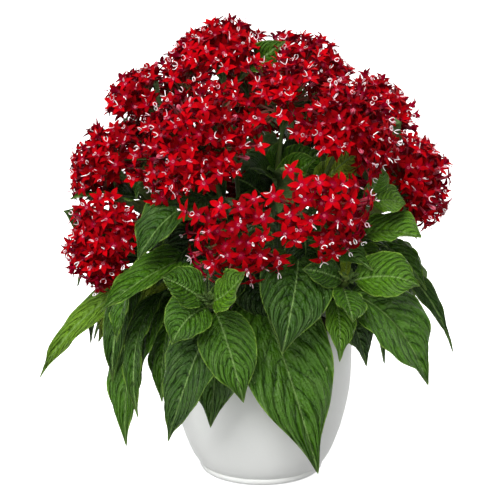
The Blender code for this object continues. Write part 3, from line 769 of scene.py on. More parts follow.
def grow_blade(sheaf, leaf, line, draw):
    reach = (line[2] - line[0]).length
    length = reach * (1 + 0.4 * (leaf["arch"] / max(20, reach)) ** 2)
    size = min(1, length / FULL_LENGTH)
    rows = max(8, round(length * (1 - PETIOLE) / ROW_STEP))
    side_columns = max(3, round(leaf["width"] / 2 / COLUMN_STEP))
    columns = 2 * side_columns + 1
    # u runs down the rows, from the stalk to the tip, and v runs along them, from margin to margin.
    u = np.linspace(0, 1, rows + 1)[:-1, None]
    v = np.linspace(-1, 1, columns)[None, :]
    far = np.abs(v)
    share = PETIOLE + u * (1 - PETIOLE)
    centre, side, up = midrib(leaf, line, share)
    half = np.maximum(leaf["width"] * outline(u), np.where(u < 0.5, 0.8, 0.05))
    veins = draw.uniform(*VEINS) * (0.8 if leaf["width"] < 12 else 1)
    phase = veins * (u - (VEIN_LEAN[0] * far + VEIN_LEAN[1] * far**2)) + np.where(v > 0, 0.5, 0)
    quilt = QUILT * length / veins * draw.uniform(*QUILT_SCATTER)
    ends = smooth(0, 0.1, u) * smooth(1.0, 0.85, u)
    puff = np.abs(np.sin(math.pi * phase)) ** 0.8 * smooth(0.03, 0.3, far) * (1 - 0.75 * smooth(0.65, 1, far))
    wave = WAVE[0] * size * np.cos(math.pi * (share - WAVE[1]) / WAVE[2])
    curl = CURL * size * far**3 * np.sin(math.pi * phase + draw.uniform(0, 3))
    fold = FOLD[0] * far - FOLD[1] * far**2
    waved = v * far * wave * smooth(0, 0.2, half / leaf["width"])
    height = half * fold - waved + (quilt * puff + curl) * ends
    groove = GROOVE[0] * np.exp(-((v * half / GROOVE[1]) ** 2))

    def sheet(finish, picked, height):
        """The picked columns of the grid at this height over the midrib, closed by one point at the tip."""
        across = (half * v)[:, picked]
        points = centre[:, None] + side[:, None] * across[..., None] * DRAWN_IN
        points = points + up[:, None] * height[..., None]
        flat = np.stack([np.broadcast_to(u * length, across.shape), across], -1)
        marks = np.stack([phase[:, picked], (half * (1 - far))[:, picked]], -1)
        points, flat, marks = (np.concatenate([grid.reshape(-1, grid.shape[-1]), [end]]) for grid, end in
                               ((points, np.array(line[2])), (flat, (length, 0)), (marks, (veins, 0))))
        faces = sheet_faces(rows, len(picked), finish == UNDER)
        sheaf.add(points, faces, finish, flat, marks, leaf["tone"])

    sheet(UPPER, list(range(columns)), height - groove)
    # Below, every column between the margins is lower, and a strip of wide faces closes the blade.
    keep = sorted({0, 1, *range(2, columns - 2, 2), side_columns, columns - 2, columns - 1})
    thick = (THICK[0] + THICK[1] * (1 - far[:, keep]) ** 0.5) * (1.1 - 0.5 * u) * size
    thick = np.where(far[:, keep] == 1, 0, thick)
    low = height - quilt * puff * ends * 0.5 * smooth(1.0, 0.7, far) - groove
    sheet(UNDER, keep, np.where(far == 1, height, low)[:, keep] - thick)
    path, _, rise = midrib(leaf, line, np.linspace(0, PETIOLE + PETIOLE_END, 6)[:, None])
    radii = np.linspace(*PETIOLE_RADIUS, len(path)) * (0.6 + 0.4 * size)
    sheaf.add(*tube(path - rise * GROOVE[0], radii, 6), STALK, tint=leaf["tone"])


print("columns across a blade 40 mm wide:", 2 * round(20 / COLUMN_STEP) + 1)

# %% [markdown]
# ## Leaf relief
#
# Short hairs give real blades a soft grey gloss over deep green; part of it is painted here as pale
# streaks, a painted sheen. Side veins are sunk creases, painted dark as painted shade. Between two of them
# small veins cross like rungs and pucker the blade into cells, and each cell gets a painted highlight on
# top and painted shade in its creases. A cell texture, laid along the veins by the phase that the mesh
# keeps, gives both the bump and the painted light and shade, so the two always agree.

# %% Leaf relief
RIDGE_SHARE, PUCKER_SHARE, FURROW_SHARE = 0.25, 0.64, 0.58


class LeafFinish(Finish):
    """A finish that reads the marks of a blade: where a point is, where the veins are, and the margin."""

    def __init__(self, name, wobble=0.0, **sockets):
        super().__init__(name, **sockets)
        self.tone = self.tint()
        self.flat = self.layer("flat")
        self.across = self.split(self.flat)[1]
        self.cloud = self.noise(self.flat, 0.09)
        phase, self.edge = self.split(self.layer("vein"))
        # A vein lies where the phase is a whole number, give or take a slow wobble.
        if wobble:
            phase = self.plus(phase, self.times(self.minus(self.cloud, 0.5), wobble))
        self.phase = phase
        self.between = self.math("ABSOLUTE", self.minus(self.math("FRACT", self.phase), 0.5))

    def rungs(self, along, across):
        return self.node("CombineXYZ", X=self.times(self.phase, along), Y=self.times(self.across, across))


def upper_relief(leaf):
    """How high the blade stands at each point, and the long furrows in it."""
    ridge = leaf.minus(1.0, leaf.times(leaf.times(leaf.between, leaf.between), 4.0))
    crumpled = leaf.node("VectorMath", settings={"operation": "ADD"})
    crumple = leaf.node("TexNoise", 1, Vector=leaf.flat, Scale=0.25)
    leaf.plug(crumpled.node.inputs, (leaf.rungs(1.9, 0.34), crumple))
    cells = leaf.node("TexVoronoi", settings={"feature": "F1"}, Vector=crumpled, Scale=1.0, Randomness=0.85)
    pucker = leaf.minus(1.0, leaf.times(cells, cells))
    furrows = leaf.noise(leaf.rungs(2.4, 0.13), 1.0, 1.5)
    relief = leaf.plus(leaf.times(ridge, RIDGE_SHARE), leaf.times(pucker, PUCKER_SHARE))
    return leaf.plus(relief, leaf.times(furrows, FURROW_SHARE)), furrows


print("shares of the relief:", RIDGE_SHARE, PUCKER_SHARE, FURROW_SHARE)

# %% [markdown]
# ## Leaf colour
#
# The tone of each leaf moves the whole from deep green to fresh green, both on the tops of the cells, which
# carry a painted highlight, and in their creases, which carry painted shade. The midrib and the margin are
# thin pale lines. The underside is paler and duller, and its veins stand out. Stalks and stems are green
# with brownish streaks, as young wood is.

# %% Leaf colour
# Greens by tone: on the tops of the cells with a painted highlight, and in their creases with painted shade.
GREEN_ON_LIT_TOPS = ((0.0, (0.006, 0.026, 0.001)), (0.25, (0.026, 0.084, 0.002)), (0.45, (0.056, 0.160, 0.003)),
          (0.65, (0.100, 0.245, 0.005)), (1.0, (0.42, 0.56, 0.05)))
GREEN_IN_SHADED_CREASES = ((0.0, (0.002, 0.011, 0.0)), (0.25, (0.012, 0.044, 0.001)), (0.45, (0.029, 0.096, 0.001)),
              (0.65, (0.058, 0.165, 0.002)), (1.0, (0.30, 0.44, 0.02)))
BELOW = ((0.0, (0.10, 0.19, 0.06)), (0.5, (0.17, 0.28, 0.07)), (1.0, (0.30, 0.40, 0.09)))
ON_STALKS = ((0.0, (0.035, 0.050, 0.010)), (0.5, (0.075, 0.13, 0.02)), (1.0, (0.30, 0.40, 0.11)))


def upper_face():
    leaf = LeafFinish("leaf_upper", 0.55, Specular_IOR_Level=0.24)
    relief, furrows = upper_relief(leaf)
    # Painted shade in the creases and a painted highlight on the tops of the cells, by the height of the
    # relief.
    crease_shade, high = leaf.ramp(leaf.tone, *GREEN_IN_SHADED_CREASES), leaf.ramp(leaf.tone, *GREEN_ON_LIT_TOPS)
    colour = leaf.mix(leaf.fade(relief, 0.56, 1.20), crease_shade, high)
    colour = leaf.mix(leaf.fade(leaf.cloud, 0.45, 0.75, 0.0, 0.35), colour, (0.070, 0.140, 0.022))
    # A painted sheen: pale grey-green streaks along the furrows stand in for the soft gloss of the hairs.
    colour = leaf.mix(leaf.fade(furrows, 0.52, 0.78, 0.0, 0.32), colour, (0.15, 0.24, 0.08))
    # Side veins are sunk and carry painted shade, dark green that fades out near the midrib, near the margin
    # and in patches.
    from_rib = leaf.math("ABSOLUTE", leaf.across)
    inner = leaf.times(leaf.fade(leaf.edge, 0.6, 3.5), leaf.fade(from_rib, 0.4, 2.2))
    patchy = leaf.fade(leaf.noise(leaf.flat, 0.16, 2.0), 0.35, 0.62, 0.25, 0.8)
    vein = leaf.times(leaf.fade(leaf.between, 0.44, 0.495), leaf.times(inner, patchy))
    colour = leaf.mix(leaf.times(vein, 0.38), colour, (0.006, 0.024, 0.001))
    rib = leaf.fade(from_rib, 0.25, 0.85, 1.0, 0.0)
    colour = leaf.mix(leaf.times(rib, 0.7), colour, (0.20, 0.33, 0.09))
    fresh = leaf.plus(0.25, leaf.times(leaf.tone, 0.75))
    margin = leaf.times(leaf.fade(leaf.edge, 0.2, 1.1, 1.0, 0.0), fresh)
    colour = leaf.mix(margin, colour, (0.24, 0.40, 0.05))
    # From the finest grain to the relief of the whole blade, each bump rides on the one before.
    normal = leaf.bump(leaf.noise(leaf.flat, 1.7, 2.0), 0.00035, 0.5)
    normal = leaf.bump(leaf.noise(leaf.flat, 0.62, 3.0, 0.6), 0.0013, 0.8, normal)
    normal = leaf.bump(relief, 0.0030, 1.0, normal)
    normal = leaf.bump(vein, 0.0006, 1.0, normal, sunk=True)
    normal = leaf.bump(rib, 0.0004, 0.8, normal)
    return leaf.done(Base_Color=colour, Normal=normal, Roughness=leaf.fade(furrows, 0.3, 0.7, 0.50, 0.38))


def under_face():
    leaf = LeafFinish("leaf_under", Specular_IOR_Level=0.3, Roughness=0.62)
    crinkle = leaf.noise(leaf.flat, 0.5, 3.0, 0.6)
    vein = leaf.times(leaf.fade(leaf.between, 0.42, 0.5), leaf.fade(leaf.edge, 0.6, 3.0))
    base = leaf.ramp(leaf.tone, *BELOW)
    colour = leaf.mix(leaf.fade(crinkle, 0.35, 0.7, 0.0, 0.5), base, (0.24, 0.34, 0.11))
    colour = leaf.mix(leaf.times(vein, 0.6), colour, (0.36, 0.44, 0.18))
    return leaf.done(Base_Color=colour, Normal=leaf.bump(vein, 0.0007, 1.0, leaf.bump(crinkle, 0.0008, 0.7)))


def stalk_skin():
    finish = Finish("stem_skin", Specular_IOR_Level=0.35, Roughness=0.55)
    streak = finish.noise(finish.place(), 260.0, 4.0, 0.65)
    base = finish.ramp(finish.tint(), *ON_STALKS)
    colour = finish.mix(finish.fade(streak, 0.45, 0.75, 0.0, 0.5), base, (0.08, 0.035, 0.015))
    return finish.done(Base_Color=colour, Normal=finish.bump(streak, 0.0003, 0.6))


leaf_finishes = [upper_face(), under_face(), stalk_skin()]
print("leaf finishes:", [finish.name for finish in leaf_finishes])

# %% [markdown]
# ## Stems and tufts
#
# A stem is a plain round tube, thick at the soil and thin under its head, with a slight swelling at each
# node where leaves join. The five shoots end in a tuft of leaves that are still folded: narrow, a few
# millimetres long, and crowded round the tip.

# %% Stems and tufts
STEM_RADIUS = (2.35, 1.5)
STEM_POINTS = 26
STEM_DEPTH = 12  # how far it reaches down into the soil
NODE_SWELL = 0.25
NODE_SHARPNESS = 22
TUFT_LEAVES = 12
TUFT_LENGTH = (5, 10)
TUFT_TURN = 2.4  # nearly the golden angle, in radians
TUFT_TONE = (0.0, 0.35)
TUFT_WIDTH, TUFT_ARCH = 0.42, 0.16  # as shares of the length


def leaning(angle, lean):
    """The way that leans this far from upright, towards the level way at this angle."""
    return level_ways(angle)[0] * math.sin(lean) + UP * math.cos(lean)


def grow_stem(sheaf, name):
    stem = stems[name]
    share = np.linspace(0, 1, STEM_POINTS)
    path = [(*stem["root"], SOIL_TOP - STEM_DEPTH)] + [tuple(stem_point(stem, s)) for s in share]
    radii = np.interp(share, (0, 1), STEM_RADIUS)
    for leaf, _ in laid_leaves:
        if leaf["stem"] == name:
            radii += NODE_SWELL * np.exp(-(((share - leaf["share"]) * NODE_SHARPNESS) ** 2))
    sheaf.add(*tube(path, [radii[0], *radii], 8), STALK, tint=0.3)


def grow_tuft(sheaf, name, draw):
    stem = stems[name]
    turn = Vector(UP).rotation_difference(stem["axis"])
    for n in range(TUFT_LEAVES):
        angle = n * TUFT_TURN + draw.uniform(-0.3, 0.3)
        lean = 0.25 + 0.9 * n / TUFT_LEAVES + draw.uniform(-0.1, 0.1)
        size = draw.uniform(*TUFT_LENGTH) * (0.7 + 0.5 * n / TUFT_LEAVES)
        tip = stem["end"] + (turn @ Vector(leaning(angle, lean))) * size
        leaf = dict(stem=name, share=1, tip=tip, width=size * TUFT_WIDTH, arch=size * TUFT_ARCH,
                    roll=draw.uniform(-40, 40), bow=0, tone=draw.uniform(*TUFT_TONE))
        grow_blade(sheaf, leaf, leaf_line(leaf), draw)


def grow_leafy_stem(name):
    sheaf = Sheaf()
    draw = random.Random("leaves of " + name)
    grow_stem(sheaf, name)
    for leaf, line in laid_leaves:
        if leaf["stem"] == name:
            grow_blade(sheaf, leaf, line, draw)
    if name in SHOOTS:
        grow_tuft(sheaf, name, draw)
    settle(sheaf.piece("stem_and_leaves_" + name, leaf_finishes, sharp=70), "leaf", "leafy_stem_" + name)
    return sheaf.triangles()


leaf_triangles = {name: grow_leafy_stem(name) for name in stems}
print("triangles in leafy stems:", sum(leaf_triangles.values()), "most in one:", max(leaf_triangles.values()))

# %% [markdown]
# ## Petals
#
# A pentas floret is a flat star of five pointed petals, about sixteen millimetres across. A petal is made
# as a small closed leaf: three columns of points above for the crease and the bend, and one line of points
# below. No two petals get quite the same width, bend or twist, because a star stamped out a thousand times
# shows at once.

# %% Petals
PETALS = 5
PETAL_ROWS = np.array((0.0, 0.18, 0.38, 0.60, 0.82))  # shares of its length, and half its width there
PETAL_HALF = np.array((0.95, 1.50, 2.05, 1.70, 0.85))
PETAL_WIDTHS = (0.88, 1.12)
PETAL_LENGTH = (7.2, 8.8)
PETAL_CUP, PETAL_TWIST, PETAL_SWAY = (-0.05, 0.6), (-0.3, 0.3), (-0.9, 0.9)
PETAL_START = 0.75
PETAL_THICK = 0.3
OPEN_RISE = (-0.05, 0.45)  # how steeply petals rise, in radians, in an open head and in a crowded one
CROWDED_RISE = (0.2, 1.3)
CROWDED_SIZE = 0.9  # the petals of a crowded head are smaller
PETAL, PETAL_BACK, THROAT, STIGMA, TUBE, CALYX, BUD = range(7)


class Spot:
    """A place and a turn. What is added there is made about the origin, with its axis along +Z."""

    def __init__(self, sheaf, place, turn):
        self.sheaf, self.place, self.turn = sheaf, place, turn

    def add(self, points, faces, finish, *flats, **marks):
        self.sheaf.add(np.asarray(points) @ self.turn.T + self.place, faces, finish, *flats, **marks)


def petal(draw, rise, reflex, size, fine):
    """Points, upper faces, lower faces and shares of the length, for one petal along +X."""
    pick = slice(None) if fine else slice(0, None, 2)
    t = PETAL_ROWS[pick]
    half = (PETAL_HALF[pick] * draw.uniform(*PETAL_WIDTHS) * size)[:, None]
    length = draw.uniform(*PETAL_LENGTH) * size
    cup, twist, sway = (draw.uniform(*ends) for ends in (PETAL_CUP, PETAL_TWIST, PETAL_SWAY))
    ends = np.append(t, 1.0)
    pitch = rise - reflex * (ends[1:] + ends[:-1]) / 2
    steps = np.diff(ends) * length
    x = PETAL_START + np.append(0, np.cumsum(steps * np.cos(pitch)))
    z = np.append(0, np.cumsum(steps * np.sin(pitch))) + 0.9 * (1 - np.exp(-5 * ends)) - 0.75
    v = np.array((-1.0, 0.0, 1.0))
    cupped = np.abs(v) * half * cup
    top = np.stack(np.broadcast_arrays(
        x[:-1, None] - cupped * np.sin(rise),
        v * half * (1 - 0.12 * abs(cup)) + sway * t[:, None] ** 2,
        z[:-1, None] + cupped * np.cos(rise) + v * half * twist * t[:, None]), -1)
    points = np.concatenate([top.reshape(-1, 3), [(x[-1], sway, z[-1])], top[:, 1] - (0, 0, PETAL_THICK)])
    rows = len(t)
    end, below, last = rows * 3, rows * 3 + 1, (rows - 1) * 3
    upper = [(a, a + 3, a + 4, a + 1) for r in range(rows - 1) for a in (3 * r, 3 * r + 1)]
    upper += [(last, end, last + 1), (last + 1, end, last + 2)]
    lower = []
    for r in range(rows - 1):
        a, b, c = 3 * r, 3 * r + 3, below + r
        lower += [(a, c, c + 1, b), (a + 2, b + 2, c + 1, c)]
    lower += [(last, below + rows - 1, end), (last + 2, end, below + rows - 1), (0, 1, below), (1, 2, below)]
    return points, upper, lower, np.concatenate([np.repeat(t, 3), [1.0], t])


def add_star(spot, draw, tone, crowded, fine):
    rise = draw.uniform(*(CROWDED_RISE if crowded else OPEN_RISE))
    size = CROWDED_SIZE if crowded else 1
    reflex = draw.uniform(0.0, 0.9) + 0.4 * max(rise, 0)
    for k in range(PETALS):
        angle = math.tau * k / PETALS + draw.uniform(-0.12, 0.12)
        own_rise, own_reflex = rise + draw.uniform(-0.22, 0.22), reflex + draw.uniform(-0.3, 0.3)
        points, upper, lower, share = petal(draw, own_rise, own_reflex, size, fine)
        marks = np.stack([share, np.full(len(share), draw.random())], -1)
        for faces, finish in ((upper, PETAL), (lower, PETAL_BACK)):
            spot.add(points @ about_up(angle).T, faces, finish, points[:, :2], marks, tint=tone)


print("a petal is at most", round(2 * PETAL_HALF.max() * PETAL_WIDTHS[1], 1), "mm wide")

# %% [markdown]
# ## Throat, calyx and stigma
#
# Below its star a floret is a long thin tube out of a small green calyx. The throat holds a tuft of pink
# hairs, and out of it stands a short style, whose white tip parts into two arms that curl like a loop.
# Hairs and calyx points are spikes of three sides: the smallest closed form that still catches light.

# %% Throat, calyx and stigma
THROAT_WALL = [(1.15, 0.10), (0.85, -0.35), (0.35, -1.2), (0, -1.6)]
CALYX_WALL = [(0, -1.4), (0.7, -1.0), (1.05, 0.2), (0.95, 1.1), (0.6, 1.2)]
SPIKE = [(0, 1, 3), (1, 2, 3), (2, 0, 3), (2, 1, 0)]
HAIR_WIDTH = 0.24  # half the width of a hair and of a calyx point
POINT_WIDTH = 0.4
STYLE_LENGTH = (2.0, 4.2)
ARM_LENGTH = (3.3, 4.7)
ARM_STEPS = 5
ARM_RADII = (0.23, 0.31, 0.33, 0.32, 0.28, 0.21)


def basis(axis):
    """Three columns: two ways across the axis, and the axis."""
    axis = unit(axis)
    one = unit(np.cross(axis, np.eye(3)[np.argmin(np.abs(axis))]))
    return np.stack([one, np.cross(axis, one), axis], 1)


def add_throat(spot, draw, tone):
    """A funnel that closes the star's middle, and the tuft of hairs in it."""
    spot.add(*turned(THROAT_WALL, 6), THROAT, tint=tone)
    for k in range(PETALS):
        out, across = level_ways(math.tau * (k + 0.5) / PETALS + draw.uniform(-0.2, 0.2))
        foot = out * draw.uniform(0.55, 0.95)
        tip = foot * draw.uniform(0.6, 1.25) + (0, 0, draw.uniform(0.5, 1.1))
        across = across * HAIR_WIDTH
        spot.add([foot - across, foot + across, foot + foot * 0.25, tip], SPIKE, THROAT, tint=1.0)


def add_calyx(spot, draw, tone):
    """A small green cup with five points at the foot of a tube."""
    spot.add(*turned(CALYX_WALL, 5), CALYX, tint=tone)
    for k in range(PETALS):
        out, across = level_ways(math.tau * k / PETALS + draw.uniform(-0.2, 0.2))
        across = across * POINT_WIDTH
        foot = out * 0.9 + (0, 0, 0.9)
        tip = out * draw.uniform(1.6, 2.6) + (0, 0, draw.uniform(2.4, 4.0))
        spot.add([foot - across, foot + across, foot - out * 0.25, tip], SPIKE, CALYX, tint=tone)


def add_stigma(spot, draw, tone):
    """The style leans out of the throat, and its two arms part and curl."""
    lean = draw.uniform(0.1, 0.75)
    way = leaning(draw.uniform(0, math.tau), lean)
    knot = way * draw.uniform(*STYLE_LENGTH) + (0, 0, 0.1)
    spot.add(*tube([(0, 0, -1.0), knot], (0.24, 0.26), 3), TUBE, tint=0.9)
    across = basis(way)
    fan = draw.uniform(0, math.pi)
    sideways = across[:, 0] * math.cos(fan) + across[:, 1] * math.sin(fan)
    spread = draw.uniform(0.5, 1.35)
    curl = draw.uniform(0.4, 4.6) * spread
    length = draw.uniform(*ARM_LENGTH)
    droop = draw.uniform(0.0, 0.5)
    other = np.cross(way, sideways)
    for side in (-1, 1):
        points = [knot]
        heading = spread
        for share in np.arange(ARM_STEPS) / ARM_STEPS:
            heading -= curl * share * 2 / ARM_STEPS
            step = way * math.cos(heading) + sideways * side * math.sin(heading) + other * droop * share
            points.append(points[-1] + unit(step) * length / ARM_STEPS)
        spot.add(*tube(points, ARM_RADII, 3), STIGMA, tint=tone)


print("spikes of a floret:", 2 * PETALS, "of", len(SPIKE), "triangles each")

# %% [markdown]
# ## Petal finish
#
# Petals are matt and velvety: they hardly shine, but their rims glow a little where light grazes the tiny
# hairs, and that is what sheen is for. From floret to floret the red runs from bright to crimson. Along
# each petal it is pinker near the throat, and faint streaks run lengthwise. All other parts of a floret
# share one plain skin with a ramp of their own.

# %% Petal finish


def velvet(name, bright, dark, base_tint):
    finish = Finish(name, Specular_IOR_Level=0.02, Roughness=0.6, Sheen_Weight=0.05, Sheen_Roughness=0.35,
                    Sheen_Tint=(1.0, 0.02, 0.08))
    along, own = finish.split(finish.layer("vein"))
    stretched = finish.node("Mapping", Vector=finish.layer("flat"), Scale=(0.25, 2.2, 1.0))
    streak = finish.noise(stretched, 1.0, 3.0, 0.6)
    level = finish.plus(finish.times(finish.tint(), 0.65), finish.times(own, 0.35))
    colour = finish.mix(finish.fade(level, 0.1, 0.9), dark, bright)
    colour = finish.mix(finish.fade(streak, 0.4, 0.75, 0.0, 0.45), colour, dark)
    colour = finish.mix(finish.fade(along, 0.0, 0.35, 0.6, 0.0), colour, base_tint)
    return finish.done(Base_Color=colour, Normal=finish.bump(streak, 0.0003, 0.7))


def plain_skin(name, roughness, *colours, middle=0.5, layer=None):
    """The colour follows each point's tint, or the first number of a layer, give or take a few spots."""
    finish = Finish(name, Specular_IOR_Level=0.35, Roughness=roughness)
    factor = finish.split(finish.layer(layer))[0] if layer else finish.tint()
    spots = finish.noise(finish.place(), 900.0)
    level = finish.plus(factor, finish.times(finish.minus(spots, 0.5), 0.3))
    stops = zip((0.0, 1.0) if len(colours) == 2 else (0.0, middle, 1.0), colours)
    return finish.done(Base_Color=finish.ramp(level, *stops), Normal=finish.bump(spots, 0.0002, 0.6))


bloom_finishes = [
    velvet("petal_velvet", (0.53, 0.0004, 0.004), (0.22, 0.0002, 0.0025), (0.40, 0.003, 0.045)),
    velvet("petal_underside", (0.44, 0.002, 0.030), (0.24, 0.001, 0.012), (0.42, 0.012, 0.07)),
    plain_skin("throat_hairs", 0.7, (0.45, 0.02, 0.08), (0.90, 0.38, 0.50)),
    plain_skin("stigma_arms", 0.6, (0.84, 0.50, 0.58), (0.95, 0.82, 0.85), (1.0, 0.96, 0.96)),
    plain_skin("floret_tube", 0.55, (0.26, 0.12, 0.07), (0.30, 0.015, 0.03), (0.48, 0.05, 0.09)),
    plain_skin("calyx_green", 0.6, (0.03, 0.06, 0.01), (0.11, 0.19, 0.04), (0.30, 0.38, 0.14), middle=0.6),
    plain_skin("bud_skin", 0.5, (0.42, 0.015, 0.04), (0.55, 0.06, 0.12), (0.75, 0.25, 0.32), middle=0.6,
               layer="vein"),
]
print("bloom finishes:", len(bloom_finishes))

# %% [markdown]
# ## Where florets stand
#
# The florets of a head point outwards from its middle, spread by the golden angle so that none hides
# another. Evenly domed heads would look like a heap of balls, and real ones grow into each other. So each
# head counts as a field that fades outwards, the fields add up, and florets stand where the sum has the
# same strength everywhere: on the dome itself where a head is alone, and further out in the valley between
# two. A few clearings stay free of florets, and there the leaves below show.

# %% Where florets stand
HEAD_SPREAD = math.radians(101)
FUSED_SPREAD = math.radians(128)  # a dome reaches further round where it runs into others
FUSED = 0.42
FADE = 2.8  # how fast a head's field weakens outwards
MOST_SHARED = 0.72
ROUNDS = 6  # each brings the places nearer to the level surface
TRIAL_PLACES = 560
FLORET_SEED = 23
FLORET_STEP = 8.4  # how far apart florets stand, and in the heads that are wide open
OPEN_STEP = 10.4
OPEN_HEADS = ("front_low_left", "front_low_right")
# Gaps in the canopy, where the leaves below show: their centres and radii.
CLEARINGS = [
    ((4, -91, 232), 12), ((20, -88, 241), 7), ((-11, -100, 225), 6), ((58, -96, 237), 8),
    ((43, -99, 236), 6), ((64, 0, 222), 16), ((66, -29, 219), 8), ((4, -50, 224), 22), ((26, -68, 238), 17),
    ((66, -58, 224), 19), ((-53, -84, 193), 14), ((86, -32, 199), 15), ((-84, -28, 221), 13),
    ((-79, -51, 178), 10), ((-86, -2, 240), 9)]


def dome_ways(axis, count, spread=HEAD_SPREAD):
    turn = np.array(Vector(UP).rotation_difference(axis).to_matrix())
    golden = math.pi * (3 - math.sqrt(5))
    i = np.arange(count)
    z = 1 - (1 - math.cos(spread)) * (i + 0.5) / count
    ring = np.sqrt(1 - z * z)
    return np.stack([ring * np.cos(golden * i), ring * np.sin(golden * i), z], 1) @ turn.T


def strength(places):
    """How strong each head's field is at each place: 1 on its own dome, fading outwards. And its slope."""
    centres = np.array([centre for _, centre, _ in HEADS.values()], float)
    radii = np.array([radius for *_, radius in HEADS.values()])
    away = places[:, None] - centres
    distance = np.linalg.norm(away, axis=2)
    return np.exp(-FADE * (distance / radii - 1)), away / (distance * radii)[..., None]


def candidates():
    """Places on the level surface of the summed fields, with their heads and outward ways."""
    draw = np.random.default_rng(FLORET_SEED)
    found = []
    for own, (name, (_, centre, radius)) in enumerate(HEADS.items()):
        axis = facing(centre)
        ways = dome_ways(axis, TRIAL_PLACES, FUSED_SPREAD)
        reach = np.full(len(ways), float(radius))
        for _ in range(ROUNDS):
            fields, _ = strength(np.array(centre) + ways * reach[:, None])
            others = np.minimum(fields.sum(1) - fields[:, own], MOST_SHARED)
            reach = radius * (1 - np.log(1 - others) / FADE)
        places = np.array(centre) + ways * reach[:, None]
        fields, slopes = strength(places)
        out = unit((fields[..., None] * slopes).sum(1))
        covered = (ways @ np.array(axis) > math.cos(HEAD_SPREAD)) | (others > FUSED)
        for n in np.nonzero((fields.argmax(1) == own) & covered)[0]:
            found.append((draw.random(), name, places[n], out[n]))
    return sorted(found, key=lambda one: one[0])


def canopy():
    """The candidates that stand a floret apart and in no clearing."""
    kept, taken = [], np.empty((0, 3))
    for _, name, place, out in candidates():
        if any(np.linalg.norm(place - centre) < radius for centre, radius in CLEARINGS):
            continue
        room = OPEN_STEP if name in OPEN_HEADS else FLORET_STEP
        if not len(taken) or np.min(((taken - place) ** 2).sum(1)) > room**2:
            kept.append((name, place, out))
            taken = np.vstack([taken, place])
    return kept


florets = canopy()
print("florets in the outer layer:", len(florets))

# %% [markdown]
# ## Buds and shade stars
#
# About one floret in fourteen of a crowded head is still a bud, a pink club with pale ridges. A crowded
# head would also let light through between its florets. So dark plain stars of a few faces each fill its
# depth, their dark red a painted shade.

# %% Buds and shade stars
BUD_WALL = [(0.75, 0), (0.8, 2.0), (1.25, 4.2), (1.6, 5.6), (1.5, 6.8), (0.9, 7.9), (0, 8.5)]
BUD_SIDES = 10
BUD_RIDGES = (1.08, 0.86)  # the wall goes out and in by turns
BUD_BACK = 7.0  # how far back from the tip the club begins
SHADE_TONE = -0.3  # darker than any floret in the light
SHADE_FACES = [(0, 2, 1), (0, 3, 2), (0, 1, 4), (1, 2, 4), (2, 3, 4), (3, 0, 4)]


def add_bud(sheaf, draw, foot, tip, tone):
    axis = unit(tip - foot)
    size = draw.uniform(0.8, 1.1)
    points, faces = turned(BUD_WALL, BUD_SIDES)
    rings = len(BUD_WALL) - 1
    odd = np.tile(np.arange(BUD_SIDES) % 2, rings)
    points[:-1] *= np.where(odd, BUD_RIDGES[1], BUD_RIDGES[0])[:, None] ** (1, 1, 0)
    ridge = np.append(1.0 - odd, 0.5)
    spot = Spot(sheaf, tip - axis * BUD_BACK * size, basis(axis))
    spot.add(points * size, faces, BUD, vein=np.stack([ridge, ridge], -1), tint=tone)


def add_shade_star(sheaf, draw, foot, place, turn):
    """A floret so deep in the head that only its colour shows, a dark red painted shade: five folded petals
    on a thin tube.
    """
    sheaf.add(*tube([foot, place], (0.5, 0.7), 3), TUBE, tint=0.2)
    for n in range(PETALS):
        level, side = level_ways(math.tau * (n + draw.uniform(-0.15, 0.15)) / PETALS)
        rise = draw.uniform(0.1, 0.9)
        length = draw.uniform(7.5, 9.5)
        way = level * math.cos(rise) + UP * math.sin(rise)
        side = side * 2.2
        middle = way * length * 0.45
        points = np.array((way * 0.2, middle + side, way * length, middle - side, middle - (0, 0, 0.5)))
        marks = np.array([(share, 0.2) for share in (0.0, 0.45, 1.0, 0.45, 0.45)])
        Spot(sheaf, place, turn).add(points, SHADE_FACES, PETAL, points[:, :2], marks, tint=SHADE_TONE)


print("a bud has", len(BUD_WALL) - 1, "rings of", BUD_SIDES, "points")

# %% [markdown]
# ## A floret in its head
#
# The even canopy is now shaken in depth, lean and turn. From its star every tube runs down to a calyx, on
# to a short stalk, and from there to one of the forks of the stem. A floret of the deep layer is plainer,
# is painted dark as shade, and has no calyx, hairs or stigma, because they would not be seen.

# %% A floret in its head
DEEP_LAYER = (-14.0, -7.0)
TUBE_LENGTH = 12.5
TUBE_RADII = (0.65, 0.62, 0.62, 0.7, 0.9, 1.2)
TUBE_TINTS = np.repeat(np.linspace(0.1, 0.8, 6), 5)
STALK_RADII = (0.55, 0.5, 0.5, 0.6)
BUD_SHARE = 0.07  # of the florets of a crowded head, and of an open one
OPEN_BUD_SHARE = 0.02
BUD_DEPTH = 1.5
DEPTH_SHAKE = (-7.8, -2.8)  # how far from the even dome florets stand, in crowded heads and in open ones
OPEN_SHAKE = (-4.6, -0.6)
SWELL = 2.5  # slow ups and downs of the dome
SWELL_PITCH = 0.05
LEAN_SHAKE = 0.34
HEAD_TRIM = {"crown_left": -2.6, "lower_left": -1.6, "crown_right": 1.2, "far_right": 2.2}


def bezier(start, control, end, count):
    t = np.linspace(0, 1, count)[:, None]
    start, control, end = (np.asarray(p, float) for p in (start, control, end))
    return start * (1 - t) ** 2 + control * 2 * t * (1 - t) + end * t * t


def three(pick, *how):
    """A vector of three random numbers."""
    return np.array([pick(*how) for _ in range(3)])


def nearest(forks, place):
    return forks[np.argmin(np.linalg.norm(forks - place, axis=1))]


